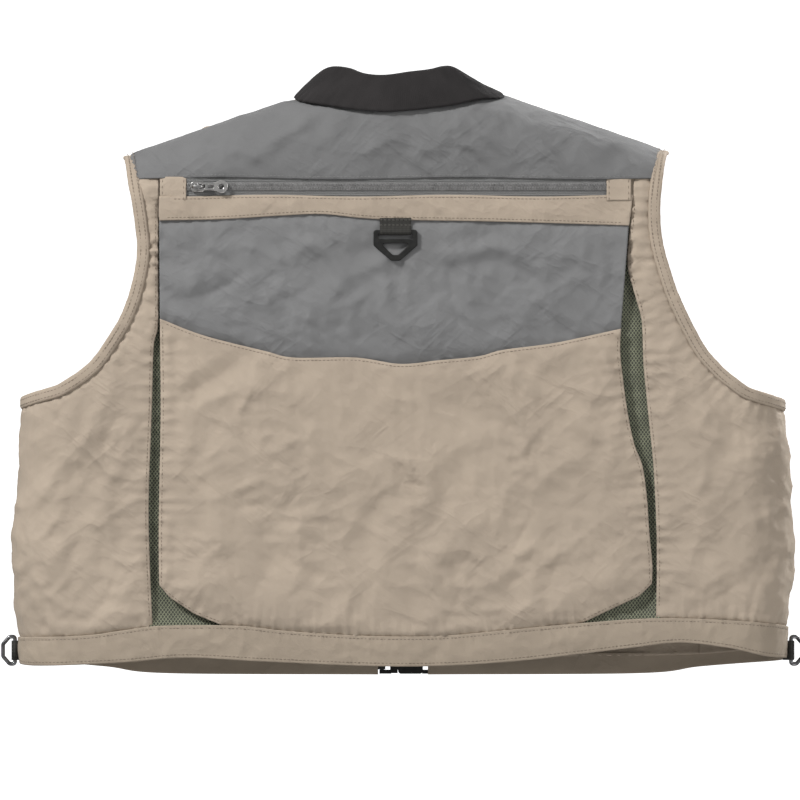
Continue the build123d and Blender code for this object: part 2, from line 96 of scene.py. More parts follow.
def on_body(s, t, lift):
    """Points in metres at pattern points, lifted off the body's surface."""
    side, q = np.sign(s), np.abs(s)
    turn = np.clip((q - FLAT) / HALF_DEPTH, 0, math.pi)
    x = np.where(q < FLAT, q, np.where(q < LOOP - FLAT, FLAT + HALF_DEPTH * np.sin(turn), LOOP - q))
    spring = RIDGE - HALF_DEPTH - SHOULDER_FALL * x
    lean = np.clip((t - spring) / HALF_DEPTH, 0, math.pi / 2)
    z = np.where(t > spring, spring + HALF_DEPTH * np.sin(lean), t)
    normal = np.stack([side * np.sin(turn) * np.cos(lean), -np.cos(turn) * np.cos(lean), np.sin(lean)], -1)
    wide = 1 + (fullness(z) - 1) * np.clip((x - 150) / 120, 0, 1)
    point = np.stack([side * x * wide, -HALF_DEPTH * np.cos(turn) * np.cos(lean), z], -1)
    return (point + normal * np.asarray(lift)[..., None]) * MM


def pattern(points, front=False):
    """Pattern points under (x, z) points of the back, or of the front."""
    points = np.asarray(points, float)
    x, z = np.abs(points[:, 0]), points[:, 1]
    s = np.where(x < FLAT, x, FLAT + HALF_DEPTH * np.arcsin(np.clip((x - FLAT) / HALF_DEPTH, 0, 1)))
    s = np.where(front, LOOP - s, s) * np.where(points[:, 0] < 0, -1, 1)
    spring = RIDGE - HALF_DEPTH - SHOULDER_FALL * x
    over = spring + HALF_DEPTH * np.arcsin(np.clip((z - spring) / HALF_DEPTH, -1, 1))
    return np.stack([s, np.where(z > spring, over, z)], -1)


# ------------------------------------------------------------ curves and noise

def run_along(line):
    """The distance along a polyline at each of its points."""
    return np.concatenate([[0], np.cumsum(np.linalg.norm(np.diff(line, axis=0), axis=1))])


def run_of(line):
    """A polyline's length."""
    return np.linalg.norm(np.diff(line, axis=0), axis=1).sum()


def even(points, count):
    """count points evenly spaced along a polyline."""
    points = np.asarray(points, float)
    run = run_along(points)
    at = np.linspace(0, run[-1], count)
    return np.stack([np.interp(at, run, points[:, k]) for k in range(points.shape[1])], -1)


def curve(points, count=160):
    """A smooth line through the points (Catmull-Rom), evenly spaced."""
    p = np.asarray(points, float)
    p = np.vstack([2 * p[0] - p[1], p, 2 * p[-1] - p[-2]])
    u = np.linspace(0, 1, 24, endpoint=False)[:, None]
    runs = []
    for a, b, c, d in zip(p[:-3], p[1:-2], p[2:-1], p[3:]):
        runs.append(0.5 * (2 * b + (c - a) * u + (2 * a - 5 * b + 4 * c - d) * u**2
                           + (3 * b - a - 3 * c + d) * u**3))
    runs.append(p[-2][None])
    return even(np.vstack(runs), count)


def noise(x, y, seed=0):
    """Smooth gradient noise between about -1 and 1 at points (x, y), in cells of size 1."""
    table = np.random.default_rng(seed).permutation(256)
    xi, yi = np.floor(x).astype(int), np.floor(y).astype(int)
    fx, fy = x - xi, y - yi

    def corner(dx, dy):
        angle = table[(table[(xi + dx) % 256] + yi + dy) % 256] * (2 * math.pi / 256)
        return np.cos(angle) * (fx - dx) + np.sin(angle) * (fy - dy)

    def ease(v):
        return v * v * v * (v * (v * 6 - 15) + 10)

    wx, wy = ease(fx), ease(fy)
    low = corner(0, 0) * (1 - wx) + corner(1, 0) * wx
    high = corner(0, 1) * (1 - wx) + corner(1, 1) * wx
    return 1.5 * (low * (1 - wy) + high * wy)


def creases(s, t, scale, slant, seed):
    """Soft folds with sharper crests, drawn out along a slanting direction."""
    bend = 0.5 * scale
    s, t = s + bend * noise(s / 55, t / 48, seed + 7), t + bend * noise(s / 50, t / 57, seed + 8)
    along = (s * math.cos(slant) + t * math.sin(slant)) / (1.8 * scale)
    across = (t * math.cos(slant) - s * math.sin(slant)) / scale
    return 1 - 2.2 * np.abs(noise(along, across, seed))


def to_line(s, t, line):
    """Distance of every pattern point from a line, and how far along it the nearest place is."""
    flat = np.stack([s.ravel(), t.ravel()], -1)
    run = run_along(line)
    distance, along = np.empty(len(flat)), np.empty(len(flat))
    for k in range(0, len(flat), 3000):
        gap = np.linalg.norm(flat[k:k + 3000, None] - line[None], axis=2)
        nearest = gap.argmin(1)
        distance[k:k + 3000] = gap[np.arange(len(nearest)), nearest]
        along[k:k + 3000] = run[nearest]
    return distance.reshape(s.shape), along.reshape(s.shape)


# ------------------------------------------------------------ meshes

def add_mesh(name, points, faces, uv=None, slot=None):
    """A mesh object from points in metres. uv gives one pattern point in metres per vertex."""
    mesh = bpy.data.meshes.new(name)
    mesh.from_pydata(np.asarray(points).tolist(), [], faces if isinstance(faces, list) else faces.tolist())
    if uv is not None:
        corner = np.empty(len(mesh.loops), np.int32)
        mesh.loops.foreach_get("vertex_index", corner)
        layer = mesh.uv_layers.new(name="cloth")
        layer.data.foreach_set("uv", np.asarray(uv, np.float32)[corner].ravel())
    mesh.polygons.foreach_set("use_smooth", [True] * len(mesh.polygons))
    thing = bpy.data.objects.new(name, mesh)
    bpy.context.scene.collection.objects.link(thing)
    if slot:
        mesh.materials.append(MATERIALS[slot])
    return thing


def settle_in(piece, body=REST, replaces=()):
    """The closing calls of every piece: its body and the CAD nodes it stands for."""
    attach(piece, body)
    if replaces:
        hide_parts(*replaces)
    return piece


def grid_faces(rows, columns, wrap_rows=False, wrap_columns=False):
    """Quads over a grid of points in row order; a wrapped side joins its last line to its first."""
    row = np.arange(rows if wrap_rows else rows - 1)[:, None]
    column = np.arange(columns if wrap_columns else columns - 1)[None]
    up, after = (row + 1) % rows, (column + 1) % columns
    quad = np.stack(np.broadcast_arrays(row * columns + column, row * columns + after,
                                        up * columns + after, up * columns + column), -1)
    return quad.reshape(-1, 4)


def inside(points, loop):
    """Which points lie inside a closed outline."""
    x, y = points[:, 0], points[:, 1]
    result = np.zeros(len(points), bool)
    for (x0, y0), (x1, y1) in zip(loop, np.roll(loop, -1, 0)):
        if y0 != y1:
            result ^= ((y0 > y) != (y1 > y)) & (x < (x1 - x0) * (y - y0) / (y1 - y0) + x0)
    return result


def area_of(loop):
    """The area of an outline, negative when it turns right."""
    x, y = loop[:, 0], loop[:, 1]
    return 0.5 * (x * np.roll(y, -1) - y * np.roll(x, -1)).sum()


def close_up(*lines):
    """One closed outline, left turning, from lines that follow each other."""
    loop = np.vstack(lines)
    gap = np.linalg.norm(np.roll(loop, -1, 0) - loop, axis=1)
    loop = loop[gap > 0.2]
    return loop if area_of(loop) > 0 else loop[::-1]


def fill(loop, pitch):
    """Points and triangles inside an outline, with extra rows of points along its edge."""
    count = int(np.linalg.norm(np.roll(loop, -1, 0) - loop, axis=1).sum() / (0.8 * pitch))
    dense = even(np.vstack([loop, loop[:1]]), count + 1)[:-1]
    for corner in loop:  # keeps sharp corners on the outline
        nearest = np.linalg.norm(dense - corner, axis=1).argmin()
        before, after = dense[nearest - 1], dense[(nearest + 1) % len(dense)]
        if np.linalg.norm(dense[nearest] - corner) > 0.02 and np.linalg.norm(
                (before + after) / 2 - corner) > 0.35 * pitch:
            dense[nearest] = corner
    low, high = loop.min(0), loop.max(0)
    t = np.arange(low[1] + pitch / 2, high[1], pitch * 0.866)
    s = np.arange(low[0], high[0] + pitch, pitch)
    grid = np.stack(np.broadcast_arrays(s[None] - (np.arange(len(t)) % 2)[:, None] * pitch / 2,
                                        t[:, None]), -1).reshape(-1, 2)
    grid = grid[inside(grid, dense)]
    edge_gap = to_line(grid[:, 0], grid[:, 1], dense)[0]
    grid = grid[edge_gap > 3.6 + 0.3 * pitch]
    along = np.roll(dense, -1, 0) - np.roll(dense, 1, 0)
    inward = np.stack([-along[:, 1], along[:, 0]], -1) / np.linalg.norm(along, axis=1, keepdims=True)
    rows = [dense]
    for depth in (1.1, 2.2, 3.6):
        row = dense + inward * depth
        rows.append(row[(to_line(row[:, 0], row[:, 1], dense)[0] > 0.93 * depth) & inside(row, dense)])
    points = np.vstack(rows + [grid])
    count = len(dense)
    edges = [(k, (k + 1) % count) for k in range(count)]
    done = mathutils.geometry.delaunay_2d_cdt([Vector(p) for p in points], edges, [], 1, 1e-6)
    return np.array([tuple(v) for v in done[0]]), np.array([f for f in done[2] if len(f) == 3]), count


def sew(name, loop, height, slot, replaces=(), thick=1.3, pitch=3.0):
    """A closed sheet of cloth over an outline in the pattern; height(s, t) is its lift in mm."""
    flat, faces, count = fill(loop, pitch)
    total = len(flat)
    s, t = flat[:, 0], flat[:, 1]
    lift = height(s, t)
    rim = np.arange(count)
    after = (rim + 1) % count
    points = np.vstack([on_body(s, t, lift), on_body(s, t, lift - thick)])
    quads = np.stack([after, rim, rim + total, after + total], -1).tolist()
    piece = add_mesh(name, points, faces.tolist() + (faces[:, ::-1] + total).tolist() + quads,
                     np.vstack([flat, flat]) * MM, slot)
    settle_in(piece, REST, replaces)
    return piece


def frames(line, lift=0.0):
    """Points, directions along, across (to the left of the line) and up for a line in the pattern."""
    line = np.asarray(line, float)
    lift = np.broadcast_to(lift, len(line))
    at = on_body(line[:, 0], line[:, 1], lift) / MM
    up = on_body(line[:, 0], line[:, 1], lift + 1) / MM - at
    return line_frames(at, up)


def line_frames(at, up):
    """Frames along points in mm, with up as near as it can be to the direction given."""
    return tidy_frames(at, np.gradient(at, axis=0), np.asarray(up, float))


def tidy_frames(at, along, up):
    """Frames made square: along is kept, and up is turned to stand on it."""
    along = along / np.linalg.norm(along, axis=1, keepdims=True)
    across = np.cross(up, along)
    across /= np.linalg.norm(across, axis=1, keepdims=True)
    return at, along, across, np.cross(along, across)


def straight(start, end, up, count):
    """Frames along a straight line between two points in mm."""
    return line_frames(np.linspace(start, end, count), up)


def sweep(name, frame_set, profile, slot, closed=False, body=REST, replaces=(), shape=None):
    """A profile of (across, up) points in mm, swept along frames; shape(k, profile) may change it."""
    at, along, across, up = frame_set
    profile = np.asarray(profile, float)
    rings = []
    for k in range(len(at)):
        ring = profile if shape is None else shape(k, profile)
        rings.append(at[k] + ring[:, :1] * across[k] + ring[:, 1:] * up[k])
    rings = np.array(rings)
    rows, columns = rings.shape[:2]
    faces = grid_faces(rows, columns, wrap_rows=closed, wrap_columns=True).tolist()
    if not closed:
        faces += [list(range(columns))[::-1], [(rows - 1) * columns + k for k in range(columns)]]
    run = run_along(at)
    girth = run_along(profile)
    uv = np.stack(np.broadcast_arrays(run[:, None], girth[None]), -1).reshape(-1, 2)
    if area_of(profile) > 0:
        faces = [face[::-1] for face in faces]
    piece = add_mesh(name, rings.reshape(-1, 3) * MM, faces, uv * MM, slot)
    return settle_in(piece, body, replaces)


def oval(wide, thick, count=16, power=0.6, shift=0.0, rise=0.0):
    """A flattened closed profile, wide by thick."""
    a = np.linspace(0, 2 * math.pi, count, endpoint=False)
    c, s = np.cos(a), np.sin(a)
    return np.stack([shift + wide / 2 * np.sign(c) * np.abs(c) ** power,
                     rise + thick / 2 * np.sign(s) * np.abs(s) ** power], -1)


def ribbed(wide, thick, ribs, depth, count=61):
    """A tape's closed profile with lengthwise ribs on its upper face; it stands on height 0."""
    a = np.linspace(-1, 1, count)
    top = thick - depth * (0.5 + 0.5 * np.cos(a * ribs * math.pi)) - 0.6 * thick * np.abs(a) ** 24
    return np.vstack([np.stack([a * wide / 2, top], -1), [[wide / 2, 0], [-wide / 2, 0]]])


def scatter(name, shape, faces, places, slot, body=REST, replaces=()):
    """Copies of a small shape (points in mm) at frames (at, along, across, up): one mesh."""
    at, along, across, up = places
    turned = (shape[None, :, :1] * along[:, None] + shape[None, :, 1:2] * across[:, None]
              + shape[None, :, 2:] * up[:, None] + at[:, None])
    faces = np.asarray(faces)
    every = (faces[None] + (np.arange(len(at)) * len(shape))[:, None, None]).reshape(-1, faces.shape[1])
    piece = add_mesh(name, turned.reshape(-1, 3) * MM, every, None, slot)
    return settle_in(piece, body, replaces)


def grain(long, wide, high, bend=0.0):
    """A lozenge of thread lying along x, with its ends dipped by bend: points and faces."""
    x = np.array([-1, -0.72, 0, 0.72, 1])
    full = np.array([0.25, 0.85, 1, 0.85, 0.25])
    a = np.linspace(0, 2 * math.pi, 6, endpoint=False)
    points = np.stack([np.repeat(x * long / 2, 6), (full[:, None] * np.cos(a) * wide / 2).ravel(),
                       (full[:, None] * np.sin(a) * high / 2 - bend * (x**2)[:, None]).ravel()], -1)
    return points, grid_faces(5, 6, wrap_columns=True)


STITCHES = {}
STITCH_STEP, STITCH_LIFT = 3.1, 0.05


def stitch(line, height, slot="thread_tan"):
    """A row of stitches along a line in the pattern, sewn into the height of the cloth."""
    line = even(line, max(4, int(run_of(line) / STITCH_STEP)))
    high = height(line[:, 0], line[:, 1]) if callable(height) else height
    STITCHES.setdefault((slot, REST), []).append(frames(line, high + STITCH_LIFT))


def stitch_run(start, end, up, slot="thread_tan", step=STITCH_STEP, body=REST):
    """A straight row of stitches between two points in mm."""
    count = max(3, int(np.linalg.norm(np.subtract(end, start)) / step))
    STITCHES.setdefault((slot, body), []).append(straight(start, end, up, count))


def offset_line(line, by):
    """A line moved to its left by a distance, evenly spaced."""
    line = np.asarray(line, float)
    along = np.gradient(line, axis=0)
    left = np.stack([-along[:, 1], along[:, 0]], -1) / np.linalg.norm(along, axis=1, keepdims=True)
    return line + left * by


def rounded(points, radius, count=6):
    """A closed outline whose corners are arcs of a radius."""
    points = np.asarray(points, float)
    result = []
    for before, corner, after in zip(np.roll(points, 1, 0), points, np.roll(points, -1, 0)):
        a, b = before - corner, after - corner
        la, lb = np.linalg.norm(a), np.linalg.norm(b)
        angle = math.acos(np.clip(np.dot(a, b) / (la * lb), -1, 1))
        cut = min(radius / math.tan(angle / 2), 0.48 * la, 0.48 * lb)
        start, end = corner + a / la * cut, corner + b / lb * cut
        for u in np.linspace(0, 1, count):
            result.append((1 - u) ** 2 * start + 2 * u * (1 - u) * corner + u**2 * end)
    return np.array(result)


def plate(name, outline, holes, low, high, soft, place, slot, body=REST, replaces=()):
    """A flat part with softened edges, between two heights over the plane place = (origin, x, y)."""
    flat = bpy.data.curves.new(name, "CURVE")
    flat.dimensions, flat.fill_mode = "2D", "BOTH"
    flat.extrude, flat.bevel_depth, flat.bevel_resolution = ((high - low) / 2 - soft) * MM, soft * MM, 3
    for loop, by in [(outline, soft)] + [(hole, -soft) for hole in holes]:
        loop = np.asarray(loop, float)
        loop = loop if area_of(loop) > 0 else loop[::-1]
        along = np.roll(loop, -1, 0) - np.roll(loop, 1, 0)
        inward = np.stack([-along[:, 1], along[:, 0]], -1)
        loop = (loop + inward / np.linalg.norm(inward, axis=1, keepdims=True) * by) * MM
        spline = flat.splines.new("POLY")
        spline.points.add(len(loop) - 1)
        spline.points.foreach_set("co", np.hstack([loop, np.zeros((len(loop), 1)),
                                                   np.ones((len(loop), 1))]).ravel())
        spline.use_cyclic_u = True
    holder = bpy.data.objects.new(name, flat)
    bpy.context.scene.collection.objects.link(holder)
    mesh = bpy.data.meshes.new_from_object(holder.evaluated_get(bpy.context.evaluated_depsgraph_get()))
    bpy.data.objects.remove(holder)
    origin, x, y = (np.asarray(v, float) for v in place)
    z = np.cross(x, y)
    matrix = mathutils.Matrix(((x[0], y[0], z[0], 0), (x[1], y[1], z[1], 0), (x[2], y[2], z[2], 0),
                               (0, 0, 0, 1)))
    mesh.transform(mathutils.Matrix.Translation((0, 0, (high + low) / 2 * MM)))
    mesh.transform(matrix)
    mesh.transform(mathutils.Matrix.Translation(Vector(origin) * MM))
    work = bmesh.new()
    work.from_mesh(mesh)
    bmesh.ops.remove_doubles(work, verts=work.verts, dist=2e-6)
    bmesh.ops.recalc_face_normals(work, faces=work.faces)
    work.to_mesh(mesh)
    work.free()
    mesh.materials.clear()
    mesh.materials.append(MATERIALS[slot])
    mesh.polygons.foreach_set("use_smooth", [True] * len(mesh.polygons))
    mesh.set_sharp_from_angle(angle=math.radians(38))
    piece = bpy.data.objects.new(name, mesh)
    bpy.context.scene.collection.objects.link(piece)
    return settle_in(piece, body, replaces)


def circle(x, y, radius, count=28):
    a = np.linspace(0, 2 * math.pi, count, endpoint=False)
    return np.stack([x + radius * np.cos(a), y + radius * np.sin(a)], -1)


def finish_stitches():
    """One mesh of stitches for each thread and body."""
    shape, faces = grain(2.3, 0.62, 0.5, bend=0.14)
    for number, ((slot, body), rows) in enumerate(sorted(STITCHES.items())):
        places = [np.vstack(part) for part in zip(*rows)]
        scatter(f"stitches_{number}", shape, faces, places, slot, body)


# ------------------------------------------------------------ materials

class Nodes:
    """Short-hand for building one node tree."""

    def __init__(self, name):
        self.material = bpy.data.materials.new(name)
        self.material.use_nodes = True
        self.tree = self.material.node_tree
        self.shader = self.tree.nodes["Principled BSDF"]

    def add(self, kind, inputs=(), **settings):
        node = self.tree.nodes.new("ShaderNode" + kind)
        for key, value in settings.items():
            setattr(node, key, value)
        for key, value in dict(inputs).items():
            if isinstance(value, bpy.types.NodeSocket):
                self.tree.links.new(value, node.inputs[key])
            else:
                node.inputs[key].default_value = value
        return node

    def place(self, uv=True):
        return (self.add("UVMap", uv_map="cloth").outputs[0] if uv
                else self.add("TexCoord").outputs["Object"])

    def noise(self, at, scale, detail=3.0, rough=0.5):
        return self.add("TexNoise", {"Vector": at, "Scale": scale, "Detail": detail,
                                     "Roughness": rough}).outputs["Fac"]

    def ridges(self, at, angle, scale, stretch):
        """Creases with sharp crests, drawn out along a direction of the cloth."""
        turned = self.add("Mapping", {"Vector": at, "Rotation": (0, 0, math.radians(angle)),
                                      "Scale": (stretch, 1, 1)}, vector_type="TEXTURE").outputs[0]
        one = self.add("TexNoise", {"Vector": turned, "Scale": scale, "Detail": 4.0, "Roughness": 0.5,
                                    "Offset": 1.0, "Gain": 1.4, "Distortion": 0.35},
                       noise_type="RIDGED_MULTIFRACTAL")
        return one.outputs["Fac"]

    def math(self, operation, a, b=0.0, clamp=False):
        return self.add("Math", {0: a, 1: b}, operation=operation, use_clamp=clamp).outputs[0]

    def spread(self, value, low, high, to_low=0.0, to_high=1.0):
        return self.add("MapRange", {"Value": value, "From Min": low, "From Max": high,
                                     "To Min": to_low, "To Max": to_high}).outputs[0]

    def wave(self, at, axis, pitch):
        return self.add("TexWave", {"Vector": at, "Scale": math.pi / 10 / pitch}, wave_type="BANDS",
                        bands_direction=axis, wave_profile="SIN").outputs["Fac"]

    def tint(self, factor, dark, light):
        mix = self.add("Mix", {0: factor}, data_type="RGBA")
        mix.inputs[6].default_value, mix.inputs[7].default_value = colour(dark), colour(light)
        return mix.outputs[2]

    def finish(self, base, height=None, depth=0.0001, rough=0.8, sheen=0.0, metal=0.0, specular=0.5,
               rough_from=None):
        shader = self.shader
        self.tree.links.new(base, shader.inputs["Base Color"])
        if height is not None:
            bump = self.add("Bump", {"Height": height, "Distance": depth, "Strength": 1.0})
            self.tree.links.new(bump.outputs[0], shader.inputs["Normal"])
        shader.inputs["Roughness"].default_value = rough
        if rough_from is not None:
            self.tree.links.new(rough_from, shader.inputs["Roughness"])
        shader.inputs["Sheen Weight"].default_value = sheen
        shader.inputs["Sheen Roughness"].default_value = 0.45
        shader.inputs["Metallic"].default_value = metal
        shader.inputs["Specular IOR Level"].default_value = specular
        return self.material


def colour(values):
    """Linear colour from 0..255 display values."""
    v = np.asarray(values, float) / 255
    return tuple(np.where(v <= 0.04045, v / 12.92, ((v + 0.055) / 1.055) ** 2.4).tolist()) + (1.0,)


def woven(name, shade, thread=0.00055, mottle=0.06, crinkle=0.75):
    """Plain weave of a light nylon: crossed threads, fuzz, fine crinkles and slow changes of tone. The
    threads are painted lighter where they rise and darker in the dips between them, as painted shade.
    """
    weave_shade_and_tone, rough = 0.10, 0.8
    n = Nodes(name)
    at = n.place()
    jitter = n.noise(at, 900, 2.0)
    warp, weft = n.wave(at, "X", thread), n.wave(at, "Y", thread)
    weave = n.math("MAXIMUM", n.math("MULTIPLY", warp, n.spread(weft, 0, 1, 1, 0.35)),
                   n.math("MULTIPLY", weft, n.spread(warp, 0, 1, 0.9, 0.3)))
    folds = n.math("ADD", n.ridges(at, 38, 26.0, 2.6), n.ridges(at, -34, 36.0, 2.2))
    patchy = n.spread(n.noise(at, 11, 2.0), 0.35, 0.65, 0.35, 1.25)
    height = n.math("ADD", n.math("MULTIPLY", weave, 0.10),
                    n.math("ADD", n.math("MULTIPLY", jitter, 0.05),
                           n.math("MULTIPLY", n.math("MULTIPLY", folds, patchy), crinkle)))
    slow = n.noise(at, 14, 4.0, 0.6)
    medium = n.noise(at, 120, 3.0, 0.6)
    span = mottle + weave_shade_and_tone
    # the weave's height also sets the tint: raised threads painted lighter and the dips darker as painted
    # shade; slow and medium noise vary the tone at random
    factor = n.math("ADD", n.math("MULTIPLY", n.spread(slow, 0.3, 0.7), mottle / span),
                    n.math("MULTIPLY", n.math("ADD", n.math("MULTIPLY", weave, 0.6),
                                              n.math("MULTIPLY", medium, 0.4)), weave_shade_and_tone / span), clamp=True)
    shade = np.asarray(shade, float)
    base = n.tint(factor, shade * (1 - span / 2), np.minimum(shade * (1 + span / 2), 255))
    return n.finish(base, height, 0.001, rough, sheen=0.04, specular=0.3,
                    rough_from=n.spread(medium, 0.3, 0.7, rough - 0.06, rough + 0.06))


def knitted(name, shade):
    """Fine rib knit with a brushed face: the fuzz that raises the face also paints it lighter where it stands
    up, so its dips carry painted shade, over a slow random change of tone.
    """
    rib = 0.0014
    n = Nodes(name)
    at = n.place()
    loops = n.math("MULTIPLY", n.wave(at, "X", rib), n.spread(n.wave(at, "Y", rib * 0.8), 0, 1, 0.6, 1))
    fluff = n.noise(at, 1300, 4.0, 0.7)
    slow = n.noise(at, 30, 3.0)
    shade = np.asarray(shade, float)
    # the fuzz noise is also in the bump: its raised tufts are painted lighter and its dips darker as painted
    # shade; slow noise varies the tone at random
    factor = n.math("ADD", n.math("MULTIPLY", fluff, 0.5), n.math("MULTIPLY", slow, 0.5), clamp=True)
    return n.finish(n.tint(n.spread(factor, 0.3, 0.7), shade * 0.8, shade * 1.22),
                    n.math("ADD", n.math("MULTIPLY", loops, 0.6), fluff), 0.00022, 0.93, 0.06, specular=0.15)


def netting(name, thread, hole):
    """Net with long diamond holes: two crossing sets of threads; the holes are not cut open but painted dark,
    as the shade seen through them.
    """
    cell = 0.0027
    n = Nodes(name)
    source = n.place()
    wobble = n.noise(source, 90, 2.0)
    waves = []
    for angle in (36, -36):
        turned = n.add("Mapping", {"Vector": source, "Rotation": (0, 0, math.radians(angle))}).outputs[0]
        waves.append(n.wave(turned, "X", cell * 0.8))
    total = n.math("MAXIMUM", waves[0], waves[1])
    solid = n.spread(n.math("ADD", total, n.math("MULTIPLY", wobble, 0.3)), 0.86, 1.08)
    fluff = n.noise(source, 1500, 2.0)
    yarn = n.tint(fluff, np.asarray(thread) * 0.78, np.asarray(thread) * 1.12)
    mix = n.add("Mix", {0: solid, 7: yarn}, data_type="RGBA")
    # the hole colour is painted shade: the dark inside of the vest seen through the net
    mix.inputs[6].default_value = colour(hole)
    return n.finish(mix.outputs[2], solid, 0.0005, 0.7, 0.0)


def webbed(name, shade, rib=0.0011, cross=0.0016):
    """Narrow webbing: lengthwise ribs crossed by a closer weft. Its colour is taken from the ribs' height:
    the grooves are painted darker as shade and the crests lighter.
    """
    n = Nodes(name)
    at = n.place()
    along, over = n.wave(at, "Y", rib), n.wave(at, "X", cross)
    height = n.math("ADD", n.math("MULTIPLY", along, n.spread(over, 0, 1, 0.4, 1)),
                    n.math("MULTIPLY", n.noise(at, 1400, 2.0), 0.3))
    shade = np.asarray(shade, float)
    # the tint follows the height: painted shade in the grooves, lighter crests
    return n.finish(n.tint(n.spread(height, 0.1, 1.2), shade * 0.62, shade * 1.35), height, 0.00025, 0.72,
                    0.03, specular=0.2)


def thread(name, shade):
    """Twisted sewing thread: one noise both raises the strands and paints them lighter, so the grooves
    between them carry painted shade.
    """
    n = Nodes(name)
    at = n.place(uv=False)
    twist = n.noise(at, 1800, 2.0)
    shade = np.asarray(shade, float)
    # the twist sets both bump and tint: raised strands painted lighter, grooves darker as painted shade
    return n.finish(n.tint(twist, shade * 0.85, np.minimum(shade * 1.15, 255)), twist, 0.0001, 0.6, 0.1)


def metal(name, dark, light, rough):
    """Tumbled cast metal: worn brighter in places, with fine pits."""
    n = Nodes(name)
    at = n.place(uv=False)
    wear = n.noise(at, 160, 4.0, 0.6)
    pits = n.noise(at, 2100, 3.0, 0.7)
    return n.finish(n.tint(n.spread(wear, 0.35, 0.65), dark, light), pits, 0.00003, rough,
                    metal=1.0, rough_from=n.spread(wear, 0.3, 0.7, rough + 0.1, rough - 0.08))


def moulded(name, dark, light, rough=0.5):
    """Moulded plastic with a fine spark-eroded grain, rubbed lighter in random patches."""
    n = Nodes(name)
    at = n.place(uv=False)
    fine = n.add("TexVoronoi", {"Vector": at, "Scale": 2600.0}).outputs["Distance"]
    wear = n.noise(at, 220, 4.0, 0.65)
    return n.finish(n.tint(n.spread(wear, 0.35, 0.7), dark, light), fine, 0.00004, rough,
                    rough_from=n.spread(wear, 0.3, 0.7, rough - 0.08, rough + 0.1), specular=0.28)


def tufted(name, dark, light, scale, depth, rough=0.95):
    """Pile: curls of wool, or the hooks of a fastener. Its colour is taken from the pile's height: the dips
    between the curls are painted darker as shade and their tops lighter.
    """
    n = Nodes(name)
    at = n.place(uv=False)
    curls = n.add("TexVoronoi", {"Vector": at, "Scale": scale}, feature="SMOOTH_F1").outputs["Distance"]
    fluff = n.noise(at, scale * 2.2, 4.0, 0.7)
    height = n.math("SUBTRACT", fluff, curls)
    # the tint follows the height: painted shade in the dips between curls, lighter tops
    return n.finish(n.tint(n.spread(height, -0.4, 0.6), dark, light), height, depth, rough, 0.5)


TAN, GREY = (166, 152, 136), (116, 116, 116)
MATERIALS = {
    "tan_cloth": woven("tan_cloth", TAN),
    "tan_binding": woven("tan_binding", (164, 150, 134), thread=0.0007, mottle=0.08, crinkle=0.3),
    "grey_cloth": woven("grey_cloth", GREY, mottle=0.05, crinkle=1.0),
    # the back yoke's grey, painted darker than the lower yoke's grey as shade, because the yoke leans up into
    # the key light
    "yoke_cloth_shaded": woven("yoke_cloth_shaded", (108, 108, 108), mottle=0.05, crinkle=1.0),
    "hem_cloth": woven("hem_cloth", (155, 142, 126), crinkle=0.4),
    "lining_cloth": woven("lining_cloth", (92, 88, 82)),
    "collar_knit": knitted("collar_knit", (41, 39, 39)),
    # the net: its yarn colour, and its holes painted dark as the shade seen through them
    "mesh": netting("mesh", (136, 139, 115), (52, 54, 45)),
    "webbing": webbed("webbing", (52, 51, 48)),
    "zip_tape": webbed("zip_tape", (120, 120, 119), rib=0.0007, cross=0.0007),
    "zip_coil": moulded("zip_coil", (108, 107, 106), (132, 131, 130), 0.55),
    # tan thread painted darker than the cloth: partly the thread's own colour, partly painted shade of the
    # needle holes along each seam
    "thread_tan": thread("thread_tan", (112, 99, 85)),
    "thread_dark": thread("thread_dark", (84, 81, 76)),
    "thread_grey": thread("thread_grey", (112, 111, 110)),
    "zip_metal": metal("zip_metal", (150, 149, 148), (214, 212, 209), 0.3),
    "ring_metal": metal("ring_metal", (70, 70, 72), (152, 152, 154), 0.22),
    "black_plastic": moulded("black_plastic", (20, 20, 19), (34, 34, 32)),
    "fleece": tufted("fleece", (150, 142, 126), (232, 226, 212), 420.0, 0.0012),
    "hook_tape": tufted("hook_tape", (24, 24, 24), (70, 70, 68), 900.0, 0.0006, 0.7),
}


# ------------------------------------------------------------ lines of the pattern (x, z of each face)

def ridge_at(x):
    """Height of the shoulder's ridge at x."""
    return RIDGE - SHOULDER_FALL * abs(x)


def on_ridge(x_from, x_to, front=False):
    xs = np.linspace(x_from, x_to, 40)
    return pattern([(x, ridge_at(x)) for x in xs], front)


def flip(line):
    """The same line on the chest: s is counted on round the side."""
    return np.stack([np.sign(line[:, 0]) * (LOOP - np.abs(line[:, 0])), line[:, 1]], -1)


ARM_LEFT = [(-223, ridge_at(223)), (-219, -63), (-214, -91), (-211, -120), (-214, -143), (-220, -164),
            (-228, -181), (-242, -202), (-252, -213), (-269, -225), (-285, -232), (-306, -239)]
ARM_RIGHT = [(212, ridge_at(212)), (206, -66), (204, -90), (206, -114), (212, -137), (221, -162),
             (238, -195), (250, -210), (266, -224), (284, -234), (306, -241)]
ZIP_Z = -71  # middle of the back zip
YOKE_LOW, TAB_TOP = -64.5, -63.5  # the back yoke's lower edge and the end tabs' upper one
BLOCK_LEFT = [(-194, -64), (-194, -98), (-193.5, -180), (-193, -300), (-193, -388)]
BLOCK_RIGHT = [(183, -64), (180, -98), (177, -137), (173.5, -184), (173, -203), (175, -222), (179, -251),
               (184, -276), (190, -293), (193, -318), (194.5, -346), (197, -372), (197, -387)]
INNER_LEFT = [(-194.6, -62), (-194.8, -120), (-195, -180), (-199, -204), (-201, -300), (-200, -369),
              (-199, -424)]
